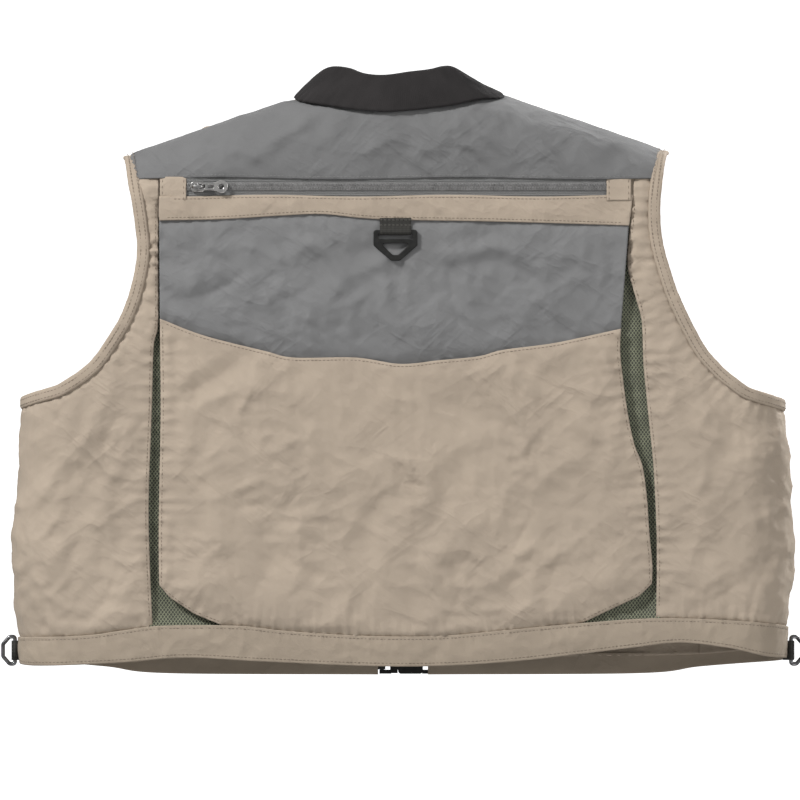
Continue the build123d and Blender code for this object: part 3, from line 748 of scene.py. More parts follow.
INNER_RIGHT = [(184.2, -62), (181.2, -98), (178.6, -132), (184.5, -157), (190, -178), (191.5, -210),
               (194.5, -241), (198, -282), (199, -303), (200, -346), (201, -416)]
SCALLOP = [(-193.5, -176), (-166, -187), (-142, -194), (-109, -202), (-87, -207), (-38, -207), (-2, -212),
           (30, -209), (60, -206), (79, -201), (117, -196), (142, -191), (173.5, -184)]
BAND_LOW = [(-194, -98), (-145, -97), (-95, -94), (-63, -93), (-18, -97), (79, -99), (180, -102)]
HEM_SEAM = [(-306, -432), (-257, -430), (-225, -426), (-192, -422), (-132, -422), (-93, -426), (-30, -430),
            (30, -430), (87, -425), (141, -420), (202, -416), (263, -418), (306, -424)]
HEM_EDGE = [(-306, -451), (-290, -452.5), (-226, -450), (-174, -446), (-112, -449), (-30, -452.5),
            (30, -452.5), (87, -449), (141, -443), (182, -438), (220, -434), (258, -438), (290, -445),
            (306, -447)]
FRONT_SEAM, TAPE_HALF, NECK_V = 240, 14, -150
CHEST_FACE = HALF_DEPTH

arm = {}
for side, points in ((-1, ARM_LEFT), (1, ARM_RIGHT)):
    back = pattern(points)
    arm[side] = curve(np.vstack([back, flip(back)[-2::-1]]), 480)
hem_seam, hem_edge = curve(pattern(HEM_SEAM), 240), curve(pattern(HEM_EDGE), 240)
scallop = curve(pattern(SCALLOP), 150)
block = {-1: curve(pattern(BLOCK_LEFT), 120), 1: curve(pattern(BLOCK_RIGHT), 120)}
inner = {-1: curve(pattern(INNER_LEFT), 120), 1: curve(pattern(INNER_RIGHT), 120)}
band_low = curve(pattern(BAND_LOW), 150)


def arm_under(side):
    """Where the panels end beneath the armhole's binding."""
    return offset_line(arm[side], -side * 4.0)


arm_seam = {side: offset_line(arm[side], -side * 9.0) for side in (-1, 1)}


def between(line, low, high, axis):
    """The points of a line whose s (axis 0) or t (axis 1) lies between two values."""
    return line[(line[:, axis] > low) & (line[:, axis] < high)]


def front_join(side):
    """The seam between a side panel and its front panel."""
    return pattern([(side * FRONT_SEAM, z) for z in np.linspace(-212, -444, 60)], front=True)


SIDE_SEAM = LOOP / 2
front_low = {}
for side in (-1, 1):
    end = hem_seam[0 if side < 0 else -1][1]
    front_low[side] = curve(np.array([(side * SIDE_SEAM, end), (side * (SIDE_SEAM + 34), -437),
                                      (side * (LOOP - FRONT_SEAM), -444), (side * (LOOP - 130), -446),
                                      (side * (LOOP - 20), -447)]), 120)


# ------------------------------------------------------------ relief of the cloth

def wave(along, period, seed):
    """Gathers along a seam: crests with sharp edges, whose spacing and strength drift."""
    drift = 0.55 * noise(along / 37, along * 0 + seed * 1.7, seed)
    strength = 0.75 + 0.6 * noise(along / 21, along * 0 + seed * 2.3, seed + 3)
    return (1 - 2 * np.abs(np.sin(math.pi * (along / period + drift))) ** 0.8) * strength


def rumple(loop, seed, count, slant=0.75):
    """Short sharp creases scattered over an outline: (line, amount, width) for relief."""
    random = np.random.default_rng(seed)
    low, high = loop.min(0), loop.max(0)
    result = []
    while len(result) < count:
        middle = random.uniform(low, high)
        turn, long = slant * random.choice([-1, 1, 1]) + random.normal(0, 0.35), random.uniform(22, 85)
        if not inside(middle[None], loop)[0]:
            continue
        along = np.array([math.cos(turn), math.sin(turn)])
        bend = random.uniform(-0.16, 0.16) * long
        run = np.linspace(-1, 1, 26)[:, None]
        line = middle + run * along * long / 2 + (1 - run**2) * bend * np.array([-along[1], along[0]])
        amount = random.choice([-1, 1]) * random.uniform(0.5, 1.5) * (0.5 + long / 90)
        result.append((line, amount, random.uniform(2.2, 6.5)))
    return result


def relief(base, seed, broad=1.0, scale=34.0, slant=0.5, seams=(), folds=(), pressed=(),
           rumples=(), drape=None):
    """A height function: slow swells, creases, gathers along seams, folds, and lines pressed flat.
    seams: (line, amount, period, reach); folds: (line, amount, width); pressed: (line, depth, width)."""
    def height(s, t):
        held = np.ones_like(s)
        extra = np.zeros_like(s)
        for number, (line, amount, period, reach) in enumerate(seams):
            gap, along = to_line(s, t, line)
            longer = reach * (1 + 0.55 * noise(along / 13, along * 0 + number, seed + 11))
            extra += amount * np.exp(-gap / np.maximum(longer, 2)) * wave(along, period, seed + number)
            extra -= 0.35 * amount * np.exp(-(gap / 2.2) ** 2)
            held = np.minimum(held, 0.15 + 0.85 * (1 - np.exp(-gap / 15)))
        where = 0.65 + 0.75 * noise(s / 62, t / 55, seed + 6)
        swell = 1.8 * noise(s / 88, t / 70, seed) + 1.5 * creases(s, t, scale, slant, seed + 1)
        swell += where * (1.05 * creases(s, t, scale * 0.55, slant + 1.4, seed + 2)
                          + 0.55 * creases(s, t, scale * 0.3, slant - 0.8, seed + 4)
                          + 0.26 * creases(s, t, scale * 0.17, slant + 0.6, seed + 5))
        lift = base + broad * held * swell + extra
        for line, amount, width in folds:
            gap, along = to_line(s, t, line)
            taper = np.sin(math.pi * np.clip(along / run_of(line), 0.02, 0.98)) ** 0.6
            lift = lift + amount * taper * (np.exp(-(gap / width) ** 2) - 0.6 * np.exp(
                -((gap - 1.7 * width) / width) ** 2))
        for line, amount, width in rumples:
            gap, along = to_line(s, t, line)
            taper = np.sin(math.pi * np.clip(along / run_of(line), 0, 1))
            lift = lift + broad * held * amount * taper * np.exp(-gap / width)
        for line, depth, width in pressed:
            lift = lift - depth * np.exp(-(to_line(s, t, line)[0] / width) ** 2)
        if drape is not None:
            lift = lift + DRAPE_SHARE * drape(s, t)
        return lift
    return height


DRAPE_SHARE = 0.55  # of the solver's height, as it is added to the relief
DRAPE_LOW, DRAPE_HIGH, DRAPE_STEPS = -3, 3.5, 16


def drape(loop, slack, seed):
    """Buckling of cloth cut slightly too large for its seams, from Blender's cloth solver:
    a function of the pattern that gives the extra lift in mm."""
    pitch = 6.0
    low, high = loop.min(0) - pitch, loop.max(0) + pitch
    columns, rows = (int(v) + 1 for v in (high - low) / pitch)
    s, t = np.meshgrid(low[0] + np.arange(columns) * pitch, low[1] + np.arange(rows) * pitch)
    flat = np.stack([s.ravel(), t.ravel()], -1)
    used = inside(flat, loop)
    gap = to_line(flat[:, 0], flat[:, 1], even(np.vstack([loop, loop[:1]]), 500))[0]
    number = np.cumsum(used) - 1
    quads = grid_faces(rows, columns)
    quads = number[quads[used[quads].all(1)]]
    bump = 0.9 * noise(flat[:, 0] / 26, flat[:, 1] / 30, seed) * np.clip(gap / 12, 0, 1)
    base = on_body(flat[used, 0], flat[used, 1], np.zeros(used.sum()))
    out = on_body(flat[used, 0], flat[used, 1], np.ones(used.sum())) - base
    sheet = add_mesh("settling", base + out * bump[used, None], quads)
    held = sheet.vertex_groups.new(name="held")
    held.add([int(k) for k in number[used & (gap < 0.8 * pitch)]], 1.0, "REPLACE")
    modifier = sheet.modifiers.new("cloth", "CLOTH")
    cloth = modifier.settings
    cloth.quality = 5
    cloth.mass = 0.2
    cloth.tension_stiffness = cloth.compression_stiffness = 12
    cloth.shear_stiffness = 4
    cloth.bending_stiffness = 0.02
    cloth.air_damping = 3
    cloth.vertex_group_mass = "held"
    cloth.shrink_min = -slack
    modifier.point_cache.frame_end = DRAPE_STEPS
    scene = bpy.context.scene
    for step in range(1, DRAPE_STEPS + 1):
        scene.frame_set(step)
    done = sheet.evaluated_get(bpy.context.evaluated_depsgraph_get()).to_mesh()
    moved = np.empty(len(done.vertices) * 3)
    done.vertices.foreach_get("co", moved)
    bpy.data.objects.remove(sheet)
    scene.frame_set(1)
    lift = ((moved.reshape(-1, 3) - base) * out).sum(1) / MM / MM
    field = np.zeros(rows * columns)
    field[used] = np.clip(lift, DRAPE_LOW, DRAPE_HIGH)
    field = field.reshape(rows, columns)

    def sample(at_s, at_t):
        c = np.clip((at_s - low[0]) / pitch, 0, columns - 1.001)
        r = np.clip((at_t - low[1]) / pitch, 0, rows - 1.001)
        i, j = np.floor(r).astype(int), np.floor(c).astype(int)
        u, v = c - j, r - i
        u, v = u * u * (3 - 2 * u), v * v * (3 - 2 * v)
        return ((field[i, j] * (1 - u) + field[i, j + 1] * u) * (1 - v)
                + (field[i + 1, j] * (1 - u) + field[i + 1, j + 1] * u) * v)
    return sample


def fold_at(points, amount, width, count=60):
    """A fold for relief, on a smooth line through (x, z) points of the back."""
    return curve(pattern(points), count), amount, width


# ------------------------------------------------------------ back

neck_back = pattern([(74, ridge_at(74)), (70, 2), (60, 0), (36, -5), (0, -6), (-36, -5), (-60, -2),
                     (-84, -1), (-92, ridge_at(92))])
yoke_low = pattern([(x, YOKE_LOW + 0.8 * math.sin(x / 31)) for x in np.linspace(-200, 200, 90)])
arm_back = {side: arm_under(side)[:240] for side in (-1, 1)}
yoke_loop = close_up(
    between(yoke_low, -199, 199, 0), between(arm_back[1], -64, 99, 1)[::-1],
    on_ridge(207.5, 75) + (0, 2.5), neck_back, on_ridge(-94, -217) + (0, 2.5),
    between(arm_back[-1], -64, 99, 1))
neck_line = curve(neck_back, 120)
yoke = relief(0.9, 3, broad=1.0, scale=38, slant=0.5, rumples=rumple(yoke_loop, 31, 26, 0.6),
              pressed=[(arm_back[-1], 1.4, 5.5), (arm_back[1], 1.4, 5.5), (neck_line, 1.6, 6)],
              seams=[(on_ridge(212, 84), 0.1, 15, 4), (on_ridge(-222, -94), 0.1, 15, 4),
                     (yoke_low, 0.25, 12, 8), (arm_seam[-1], 0.45, 8, 9), (arm_seam[1], 0.45, 8, 9),
                     (neck_line, 0.12, 11, 10)],
              folds=[fold_at([(-60, -8), (-85, -25), (-120, -48)], 1.2, 5),
                     fold_at([(42, -24), (56, -40), (80, -60)], 1.9, 4.5),
                     fold_at([(98, -34), (112, -42), (128, -56)], 1.3, 4),
                     fold_at([(-6, -36), (10, -50), (26, -61)], 1.2, 4),
                     fold_at([(-150, -40), (-118, -46), (-98, -60)], 1.3, 5)])
# the yoke's grey carries painted shade: it is darker than the lower yoke's grey because the yoke faces the
# key light
sew("back_yoke_cloth", yoke_loop, yoke, "yoke_cloth_shaded", ["back_yoke"], pitch=2.6)
stitch(offset_line(yoke_low[3:-3], 2.0), yoke, "thread_grey")

tape_line = pattern([(x, ZIP_Z) for x in np.linspace(-175.0, 165.0, 120)])
sweep("back_zip_tape_cloth", frames(tape_line, -1.3), ribbed(17, 1.25, 9, 0.3), "zip_tape",
      replaces=["back_zip_tape"])
for (side, word), start, end in zip(SIDES, (-193.5, 162), (-172.5, 181.5)):
    tab_loop = close_up(pattern([(start, -82), (end, -82), (end, TAB_TOP), (start, TAB_TOP)]))
    top_edge = pattern([(start, TAB_TOP), (end, TAB_TOP)])
    tab = relief(0.8, 40 + side, broad=0.35, pressed=[(top_edge, 1.3, 3.5)])
    sew(f"back_zip_end_tab_{word}", tab_loop, tab, "tan_cloth",
        ["back_zip_end_tabs"] if side < 0 else (), thick=1.0, pitch=2.2)
    for x in (start + 2.0, end - 2.0):
        stitch(pattern([(x, z) for z in np.linspace(-80.5, -67, 12)]), tab)

band_top = pattern([(x, -78.2 + 0.7 * math.sin(x / 23)) for x in np.linspace(-194, 183, 90)])
band_loop = close_up(band_top, band_low[::-1])
band = relief(1.0, 5, broad=0.75, scale=26, slant=0.1, rumples=rumple(band_loop, 51, 16, 1.1),
              seams=[(band_top, 0.28, 13, 7), (band_low, 0.3, 11, 8)])
sew("back_band_cloth", band_loop, band, "tan_cloth", ["back_band"], pitch=2.2)
stitch(offset_line(band_top[3:-3], -2.0), band)
stitch(offset_line(band_low[3:-3], 2.2), band)

low_yoke_loop = close_up(
    band_low + (0, 4), between(block[1], -180, -99, 1),
    (scallop - (0, 6))[::-1], between(block[-1], -180, -99, 1)[::-1])
low_yoke = relief(0.3, 8, broad=1.3, scale=40, slant=0.35, rumples=rumple(low_yoke_loop, 211, 26),
                  drape=drape(low_yoke_loop, 0.002, 21),
                  pressed=[(scallop - (0, 3), 2.2, 7.0), (band_low, 1.3, 5.0)],
                  seams=[(band_low, 0.45, 10, 12), (scallop, 0.4, 12, 10)],
                  folds=[fold_at([(-150, -108), (-120, -140), (-104, -178)], 0.9, 6),
                         fold_at([(22, -131), (52, -122), (80, -121), (114, -140)], 1.9, 6),
                     fold_at([(104, -150), (124, -172), (150, -188)], 1.6, 5),
                     fold_at([(34, -160), (48, -172), (64, -184)], 1.5, 4),
                     fold_at([(-90, -112), (-60, -124), (-44, -150)], 1.4, 5),
                     fold_at([(-30, -132), (-14, -152), (-8, -186)], 1.2, 6)])
sew("lower_yoke_cloth", low_yoke_loop, low_yoke, "grey_cloth", ["lower_yoke"], pitch=2.6)

hem_mid = between(hem_seam, -143, 141, 0)
corner_left = pattern([(-193, -388), (-185, -398), (-166, -411), (-143, -420.5)])
corner_right = pattern([(141, -419), (166, -407), (187, -397), (197, -387)])
back_loop = close_up(block[-1][block[-1][:, 1] < -176], corner_left, hem_mid - (0, 1), corner_right,
                     block[1][block[1][:, 1] < -184][::-1], scallop[::-1])
edge_left = curve(np.vstack([block[-1][block[-1][:, 1] < -178][::6], corner_left]), 160)
edge_right = curve(np.vstack([block[1][block[1][:, 1] < -186][::6], corner_right[::-1]]), 160)
back = relief(1.6, 13, broad=1.1, scale=40, slant=0.75, rumples=rumple(back_loop, 221, 54),
              drape=drape(back_loop, 0.003, 22),
              pressed=[(hem_mid, 2.0, 3.5), (scallop, 0.3, 3.0)],
              seams=[(edge_left, 1.1, 10, 13), (edge_right, 1.1, 10, 13), (scallop, 0.4, 12, 9),
                     (hem_mid, 1.2, 8, 13)],
              folds=[fold_at([(70, -209), (112, -236), (152, -268), (186, -305)], 1.9, 7, 90),
                     fold_at([(148, -190), (160, -206), (168, -232)], 1.7, 5),
                     fold_at([(-176, -205), (-140, -262), (-122, -330)], 1.1, 8, 90),
                     fold_at([(-40, -250), (18, -300), (60, -372)], 1.0, 9, 90)])
sew("back_panel_cloth", back_loop, back, "tan_cloth", ["back_panel"], pitch=2.4)
stitch(offset_line(scallop, -2.2)[3:-3], back)
stitch(offset_line(edge_left, 2.2)[3:-3], back)
stitch(offset_line(edge_right, -2.2)[3:-3], back)

net_loop = close_up(pattern([(x, -95) for x in np.linspace(-204, 204, 60)]),
                    pattern([(204, z) for z in np.linspace(-95, -414, 60)]),
                    between(hem_seam, -203, 203, 0)[::-1] - (0, 5),
                    pattern([(-204, z) for z in np.linspace(-420, -95, 60)]))
net_sides = [(pattern([(x, z) for z in np.linspace(-100, -424, 90)]), -3.4, 7.0) for x in (-205, 205)]
net = relief(-5.4, 17, broad=0.25, scale=50, slant=1.2,
             pressed=[(hem_seam - (0, 3), -3.5, 9.0)] + net_sides)
sew("back_net_cloth", net_loop, net, "mesh", ["back_mesh"], thick=0.8, pitch=4.5)

# ------------------------------------------------------------ sides and hem

for side, word in SIDES:
    under = arm_under(side)
    round_side = under[(np.abs(under[:, 0]) < LOOP - FRONT_SEAM + 3)
                       & ((np.abs(under[:, 0]) > SIDE_SEAM) | (under[:, 1] < TAB_TOP))]
    seam_low = hem_seam[(hem_seam[:, 0] * side > 199)][::side]
    part_front = front_low[side][np.abs(front_low[side][:, 0]) < LOOP - FRONT_SEAM + 4]
    loop = close_up(inner[side], seam_low - (0, 1), part_front - (0, 1), round_side[::-1])
    join = front_join(side)
    panel = relief(0.3, 30 + side, broad=1.15, scale=36, slant=0.9 * side,
                   rumples=rumple(loop, 240 + side, 40, 0.9), drape=drape(loop, 0.003, 24 + side),
                   pressed=[(under, 1.5, 5.5), (hem_seam, 1.3, 3.0), (front_low[side], 1.3, 3.0),
                            (yoke_low, 1.5, 5.0), (join, 1.4, 5.0)],
                   seams=[(inner[side], 1.2, 10, 13), (inner[side][6:52], 1.5, 11, 15),
                          (arm_seam[side], 1.0, 9, 14), (hem_seam, 1.2, 8, 13),
                          (front_low[side], 0.5, 7, 10), (join, 0.3, 11, 8)],
                   folds=[fold_at([(side * 228, -196), (side * 246, -262), (side * 286, -318)], 1.3, 7, 80),
                          fold_at([(side * 214, -258), (side * 240, -330), (side * 244, -398)], 1.0, 8, 80)])
    sew(f"side_panel_{word}_cloth", loop, panel, "tan_cloth", [f"side_panel_{word}"], pitch=2.5)
    stitch(offset_line(inner[side], side * 2.2)[8:-4], panel)

    binding_frames = frames(arm[side][:-1], 0.0)
    profile = oval(9.8, 4.0, 18, 0.62, shift=-side * 4.1, rise=-0.2)
    ripple = noise(np.arange(480) / 5.0, np.full(480, 3.7 + side), 50 + side)
    sweep(f"armhole_binding_{word}_cloth", binding_frames, profile, "tan_binding", closed=True,
          replaces=[f"armhole_binding_{word}"],
          shape=lambda k, ring, r=ripple: ring * (1, 1 + 0.10 * r[k]) + (0.22 * r[k], 0.16 * r[k]))
    for gap in (6.6, 2.4):
        stitch(offset_line(arm[side], -side * gap), 1.72)

hem_front_low = {}
for side in (-1, 1):
    end = hem_edge[0 if side < 0 else -1][1]
    hem_front_low[side] = curve(np.array([(side * SIDE_SEAM, end), (side * (SIDE_SEAM + 20), -449.5),
                                          (side * (LOOP - FRONT_SEAM), -455), (side * (LOOP - 190), -460.5),
                                          (side * (LOOP - 20), -461.5)]), 120)
hem_loop = close_up(hem_seam + (0, 1.6), hem_edge[::-1])
hem = relief(1.2, 60, broad=0.8, scale=22, slant=0.6, rumples=rumple(hem_loop, 61, 44, 0.9),
             seams=[(hem_seam, 0.5, 8, 7), (hem_edge, 0.35, 14, 8)])
sew("back_hem_cloth", hem_loop, hem, "hem_cloth", ["back_hem"], thick=2.4, pitch=2.2)
stitch(offset_line(hem_seam + (0, 1.6), -2.4)[3:-3], hem)
stitch(offset_line(hem_edge, 2.6)[3:-3], hem)
for side, word in SIDES:
    loop = close_up(front_low[side] + (0, 2), hem_front_low[side][::-1])
    strap_line = pattern([(side * x, -454) for x in range(4, 112, 4)], front=True)
    front_hem = relief(1.2, 64 + side, broad=0.4, scale=22, slant=0.2, pressed=[(strap_line, 1.8, 12)],
                       seams=[(front_low[side], 0.3, 7, 5), (hem_front_low[side], 0.25, 15, 8)])
    sew(f"front_hem_{word}_cloth", loop, front_hem, "hem_cloth", [f"front_hem_{word}"], thick=2.4)
    stitch(offset_line(front_low[side], side * -0.6)[3:-3], front_hem)
    stitch(offset_line(hem_front_low[side], side * 2.4)[3:-3], front_hem)

# ------------------------------------------------------------ collar

# the collar's upper edge: (degrees round the neck, z)
COLLAR_TOP = curve([(-160, 15), (-120, 16), (-95, 17), (-72, 24.5), (-58, 25.6), (-42, 24), (-26, 19.5),
                    (-12, 18.5), (4, 21), (20, 23), (33, 25.6), (43, 25), (54, 17.5), (64, 11.5), (78, 7.6),
                    (90, 6.8), (105, 8), (120, 10), (160, 14)], 300)
COLLAR_RIGHT, COLLAR_SQUARE = 0.94, 0.62  # its right end is drawn in, and its back is squarer than an oval


def collar_half(z):
    """Half the width and half the depth of the collar's face, which leans in as it rises."""
    rise = (z + 12) / 38
    return 97 - 33 * rise, 45.5 - 12.5 * rise


def foot_at(turn):
    """Lowest height at which the collar's face still stands clear of the shoulders."""
    z = np.linspace(26, -12.5, 300)
    wide, deep = collar_half(z)
    x = wide * abs(math.sin(math.radians(turn))) * (COLLAR_RIGHT if turn > 0 else 1)
    y = deep * abs(math.cos(math.radians(turn))) ** (COLLAR_SQUARE if abs(turn) < 90 else 1)
    over = np.maximum(z - (RIDGE - HALF_DEPTH - SHOULDER_FALL * x), 0)
    inside_body = np.hypot(y, over) - HALF_DEPTH < 0.1
    return z[inside_body.argmax() - 1] if inside_body.any() else z[-1]


FOOT_TURN = np.linspace(-160, 160, 161)
FOOT = np.array([foot_at(turn) for turn in FOOT_TURN])
SEWN_ON = np.interp(FOOT_TURN, [-100, -90, -75, -41, -22, -7, 0, 26, 47, 60, 75, 90, 100],
                    [-12, 2, -1, -6, -10, -12, -11.2, -6.5, -0.8, -0.2, 0, 2.2, -12])
FOOT = np.where(np.abs(FOOT_TURN) < 82, SEWN_ON, np.maximum(FOOT, SEWN_ON))
FOOT = np.convolve(np.pad(FOOT, 4, mode="edge"), np.ones(9) / 9, "valid")


def collar_point(u, h, out):
    """A point of the collar: u round the neck from -1 to 1, h up its height, out from its face."""
    turn = u * (155 - 28 * h)
    top = np.interp(turn, COLLAR_TOP[:, 0], COLLAR_TOP[:, 1])
    foot = np.interp(turn, FOOT_TURN, FOOT)
    z = foot + (top - foot) * h
    wide, deep = collar_half(z)
    turn = np.radians(turn)
    x = (wide + out) * np.sin(turn)
    fore = np.cos(turn)
    y = -(deep + out) * np.where(fore > 0, np.abs(fore) ** COLLAR_SQUARE, fore)
    return np.stack([x * np.where(x > 0, COLLAR_RIGHT, 1.0), y, z], -1)


def collar_ring(thick, depth):
    """(h, out) round the collar's section: up its face, over the fold, and down inside."""
    up = np.linspace(0, 1, 14)
    face = [(h * 0.93, -depth + 1.5 * math.sin(math.pi * h) ** 0.7 + 1.6 * (1 - h) ** 3) for h in up]
    roll = [(0.93 + 0.07 * math.sin(a), -depth - thick / 2 + thick / 2 * math.cos(a))
            for a in np.linspace(0, math.pi, 9)[1:-1]]
    inside_face = [(h * 0.93, -depth - thick - 0.3 * math.sin(math.pi * h)) for h in up[::-1]]
    return np.array(face + roll + inside_face)


def wrap_neck(name, ring, slot, replaces, seed, rough=1.0):
    """A closed piece round the neck from its section, softened by noise."""
    u = np.linspace(-1, 1, 220)[:, None]
    h, out = ring[None, :, 0], ring[None, :, 1]
    turn = u * 140
    soft = (0.5 * noise(turn / 17 + 0 * h, h * 2.2 + 0 * u, seed)
            + 0.3 * noise(turn / 5 + 0 * h, h * 3 + 0 * u, seed + 1))
    dent = -1.3 * np.exp(-(((turn + 20) / 5) ** 2)) * np.exp(-(((h - 0.7) / 0.35) ** 2))
    gather = 0.25 * np.sin(turn * 0.9 + 1.4 * noise(turn / 9 + 0 * h, 0 * h + 0 * u, seed + 2)) * (1 - h) ** 2
    points = collar_point(u + 0 * h, h + 0 * u, out + rough * (soft + dent + gather))
    rows, count = points.shape[:2]
    faces = [f[::-1] for f in grid_faces(rows, count, wrap_columns=True).tolist()]
    faces += [list(range(count)), [(rows - 1) * count + k for k in range(count)][::-1]]
    girth = run_along(points[rows // 2])
    uv = np.stack(np.broadcast_arrays(u * 200, girth[None]), -1)
    piece = add_mesh(name, points.reshape(-1, 3) * MM, faces, uv.reshape(-1, 2) * MM, slot)
    return settle_in(piece, REST, replaces)


collar = wrap_neck("collar_knit_band", collar_ring(5.0, 0.0), "collar_knit", ["collar"], seed=70)
lining = wrap_neck("collar_lining_cloth", collar_ring(1.2, 5.2) * (0.93, 1), "lining_cloth",
                   ["collar_lining"], seed=74, rough=0.35)

# ------------------------------------------------------------ front

for side, word in SIDES:
    def chest(points):
        return pattern([(side * x, z) for x, z in points], front=True)

    def level(z, start, end):
        return chest([(x, z) for x in range(start, end, 4)])

    v_line = chest([(4 + (z - NECK_V) * 0.26667, z) for z in np.linspace(-14, -150, 60)])
    v_under = chest([(8 + (z - NECK_V) * 0.26667, z) for z in np.linspace(-14, -126, 50)])
    wide = 92 if side < 0 else 76
    neck_front = chest([(wide, ridge_at(wide)), (wide - 7, -1), (64, -4), (52, -8), (46, -12)])
    under = arm_under(side)
    arm_front = under[(np.abs(under[:, 0]) > LOOP - FRONT_SEAM - 1)]
    zip_edge = chest([(TAPE_HALF - 1.5, z) for z in np.linspace(-128, -428, 80)])
    low = front_low[side][np.abs(front_low[side][:, 0]) > LOOP - FRONT_SEAM - 2]
    ridge = on_ridge(207.5 if side > 0 else -218.5, side * (wide + 2), True)
    loop = close_up(v_under, zip_edge, low[::-1] - (0, 1), arm_front, ridge, neck_front)
    # the panel is pressed flat under the flaps, the strap, the tool tab and the fly patch
    flap_lines = level(-130, 46, 178), level(-108, 46, 178)
    tab_press = [(chest([(108, z) for z in (-62, -72, -82)]), 1.6, 13)] if side > 0 else []
    patch_press = [(level(z, 62, 156), 2.6, 20) for z in (-66, -100)] if side < 0 else []
    seam = front_join(side)
    front = relief(1.2, 80 + side, broad=0.95, scale=38, slant=0.8 * side,
                   rumples=rumple(loop, 280 + side, 34, 0.9),
                   pressed=[(under, 1.6, 5.5), (low, 1.4, 3.0), (v_under, 1.4, 5.0),
                            (on_ridge(side * 218, side * 84, True), 3.0, 9.0), *tab_press,
                            (flap_lines[0], 2.4, 13), (flap_lines[1], 2.2, 13),
                            (level(-443, 4, 112), 1.6, 9), *patch_press],
                   seams=[(zip_edge, 0.45, 10, 8), (arm_seam[side], 0.6, 8, 11), (low, 0.6, 7, 9),
                          (seam, 0.45, 11, 9), (v_under, 0.35, 10, 8),
                          (flap_lines[0], 0.0, 10, 8), (flap_lines[1], 0.0, 10, 8)],
                   folds=[(curve(chest([(70, -24), (96, -60), (150, -120)]), 60), 0.8, 7)])
    sew(f"front_panel_{word}_cloth", loop, front, "tan_cloth", [f"front_panel_{word}"], pitch=3.3)
    stitch(offset_line(zip_edge, side * 2.6)[2:-2], front)
    stitch(offset_line(seam, side * -2.2)[2:-2], front)

    neck_frames = frames(even(v_line, 90), 0.0)
    sweep(f"neck_binding_{word}_cloth", neck_frames, oval(9.4, 4.0, 18, 0.62, shift=side * -4.0, rise=-0.2),
          "tan_binding", replaces=[f"neck_binding_{word}"])
    for gap in (6.4, 2.4):
        stitch(offset_line(v_line, side * -gap)[2:-2], 1.72)

    middle = side * (3.3 + TAPE_HALF) / 2
    sweep(f"front_zip_tape_{word}_cloth",
          straight((middle, CHEST_FACE - 1.3, -149), (middle, CHEST_FACE - 1.3, -426), (0, 1, 0), 90),
          ribbed(12.4, 1.25, 7, 0.3), "zip_tape", replaces=[f"front_zip_tape_{word}"])

# ------------------------------------------------------------ zips

TOOTH, TOOTH_PITCH = grain(3.4, 1.05, 0.9), 1.25


def teeth(name, start, end, up, replaces):
    """A closed coil: two rows of slanting teeth that meet in its middle, and their two outer cords."""
    length = np.linalg.norm(np.subtract(end, start))
    count = int(length / TOOTH_PITCH)
    at, along, across, lift = straight(start, end, up, count)
    rows = []
    for hand in (-1, 1):
        shift = 0.5 * TOOTH_PITCH * (hand > 0)
        turned = across * math.cos(0.22) + hand * along * math.sin(0.22)
        rows.append((at + along * shift + across * hand * 1.35 - lift * 0.55, turned,
                     np.cross(lift, turned), lift))
    places = [np.vstack(part) for part in zip(*rows)]
    scatter(name, *TOOTH, places, "zip_coil", REST, replaces)
    for hand in (-1, 1):
        edge = (at + across * hand * 2.7 - lift * 0.75, along, across, lift)
        sweep(f"{name}_cord_{'a' if hand < 0 else 'b'}", edge, oval(0.9, 0.7, 8, 1.0), "zip_coil")


COIL_OUT = HALF_DEPTH + 1  # how far both coils stand from the middle of the vest
teeth("back_zip_teeth", (-172, -COIL_OUT, ZIP_Z), (162, -COIL_OUT, ZIP_Z), (0, -1, 0), ["back_zip_coil"])
teeth("front_zip_teeth", (0, COIL_OUT, -159), (0, COIL_OUT, -425), (0, 1, 0), ["front_zip_coil"])


def zip_slider(name, place, body, node):
    """Slider body: a capsule plate, its side rails, and the arched bridge over the pull's pin."""
    origin, x, y = (np.asarray(v, float) for v in place)
    z = np.cross(x, y)
    plate(f"{name}_body", rounded([(-6, -4.3), (6, -3.7), (6, 3.7), (-6, 4.3)], 3.4),
          [circle(-4.2, 0, 0.9, 16), circle(4.6, 0, 0.75, 16)], 0.3, 1.8, 0.55, place, "zip_metal", body,
          [node])
    for hand in (-1, 1):
        at = origin + y * hand * 3.85 + z * 0.1
        sweep(f"{name}_rail_{'a' if hand < 0 else 'b'}",
              straight(at - x * 4.2, at + x * 4.2, z, 6), oval(0.9, 1.5, 10, 0.7), "zip_metal", body=body)
    arch = curve([(-4.4, 1.5), (-3.9, 3.4), (-2.6, 4.55), (0, 4.8), (2.6, 4.55), (3.9, 3.4), (4.4, 1.5)], 30)
    at = origin + arch[:, :1] * x + arch[:, 1:] * z
    along = np.gradient(at, axis=0)
    sweep(f"{name}_bridge", tidy_frames(at, along, np.cross(along, y)), oval(2.3, 0.9, 12, 0.7), "zip_metal",
          body=body)


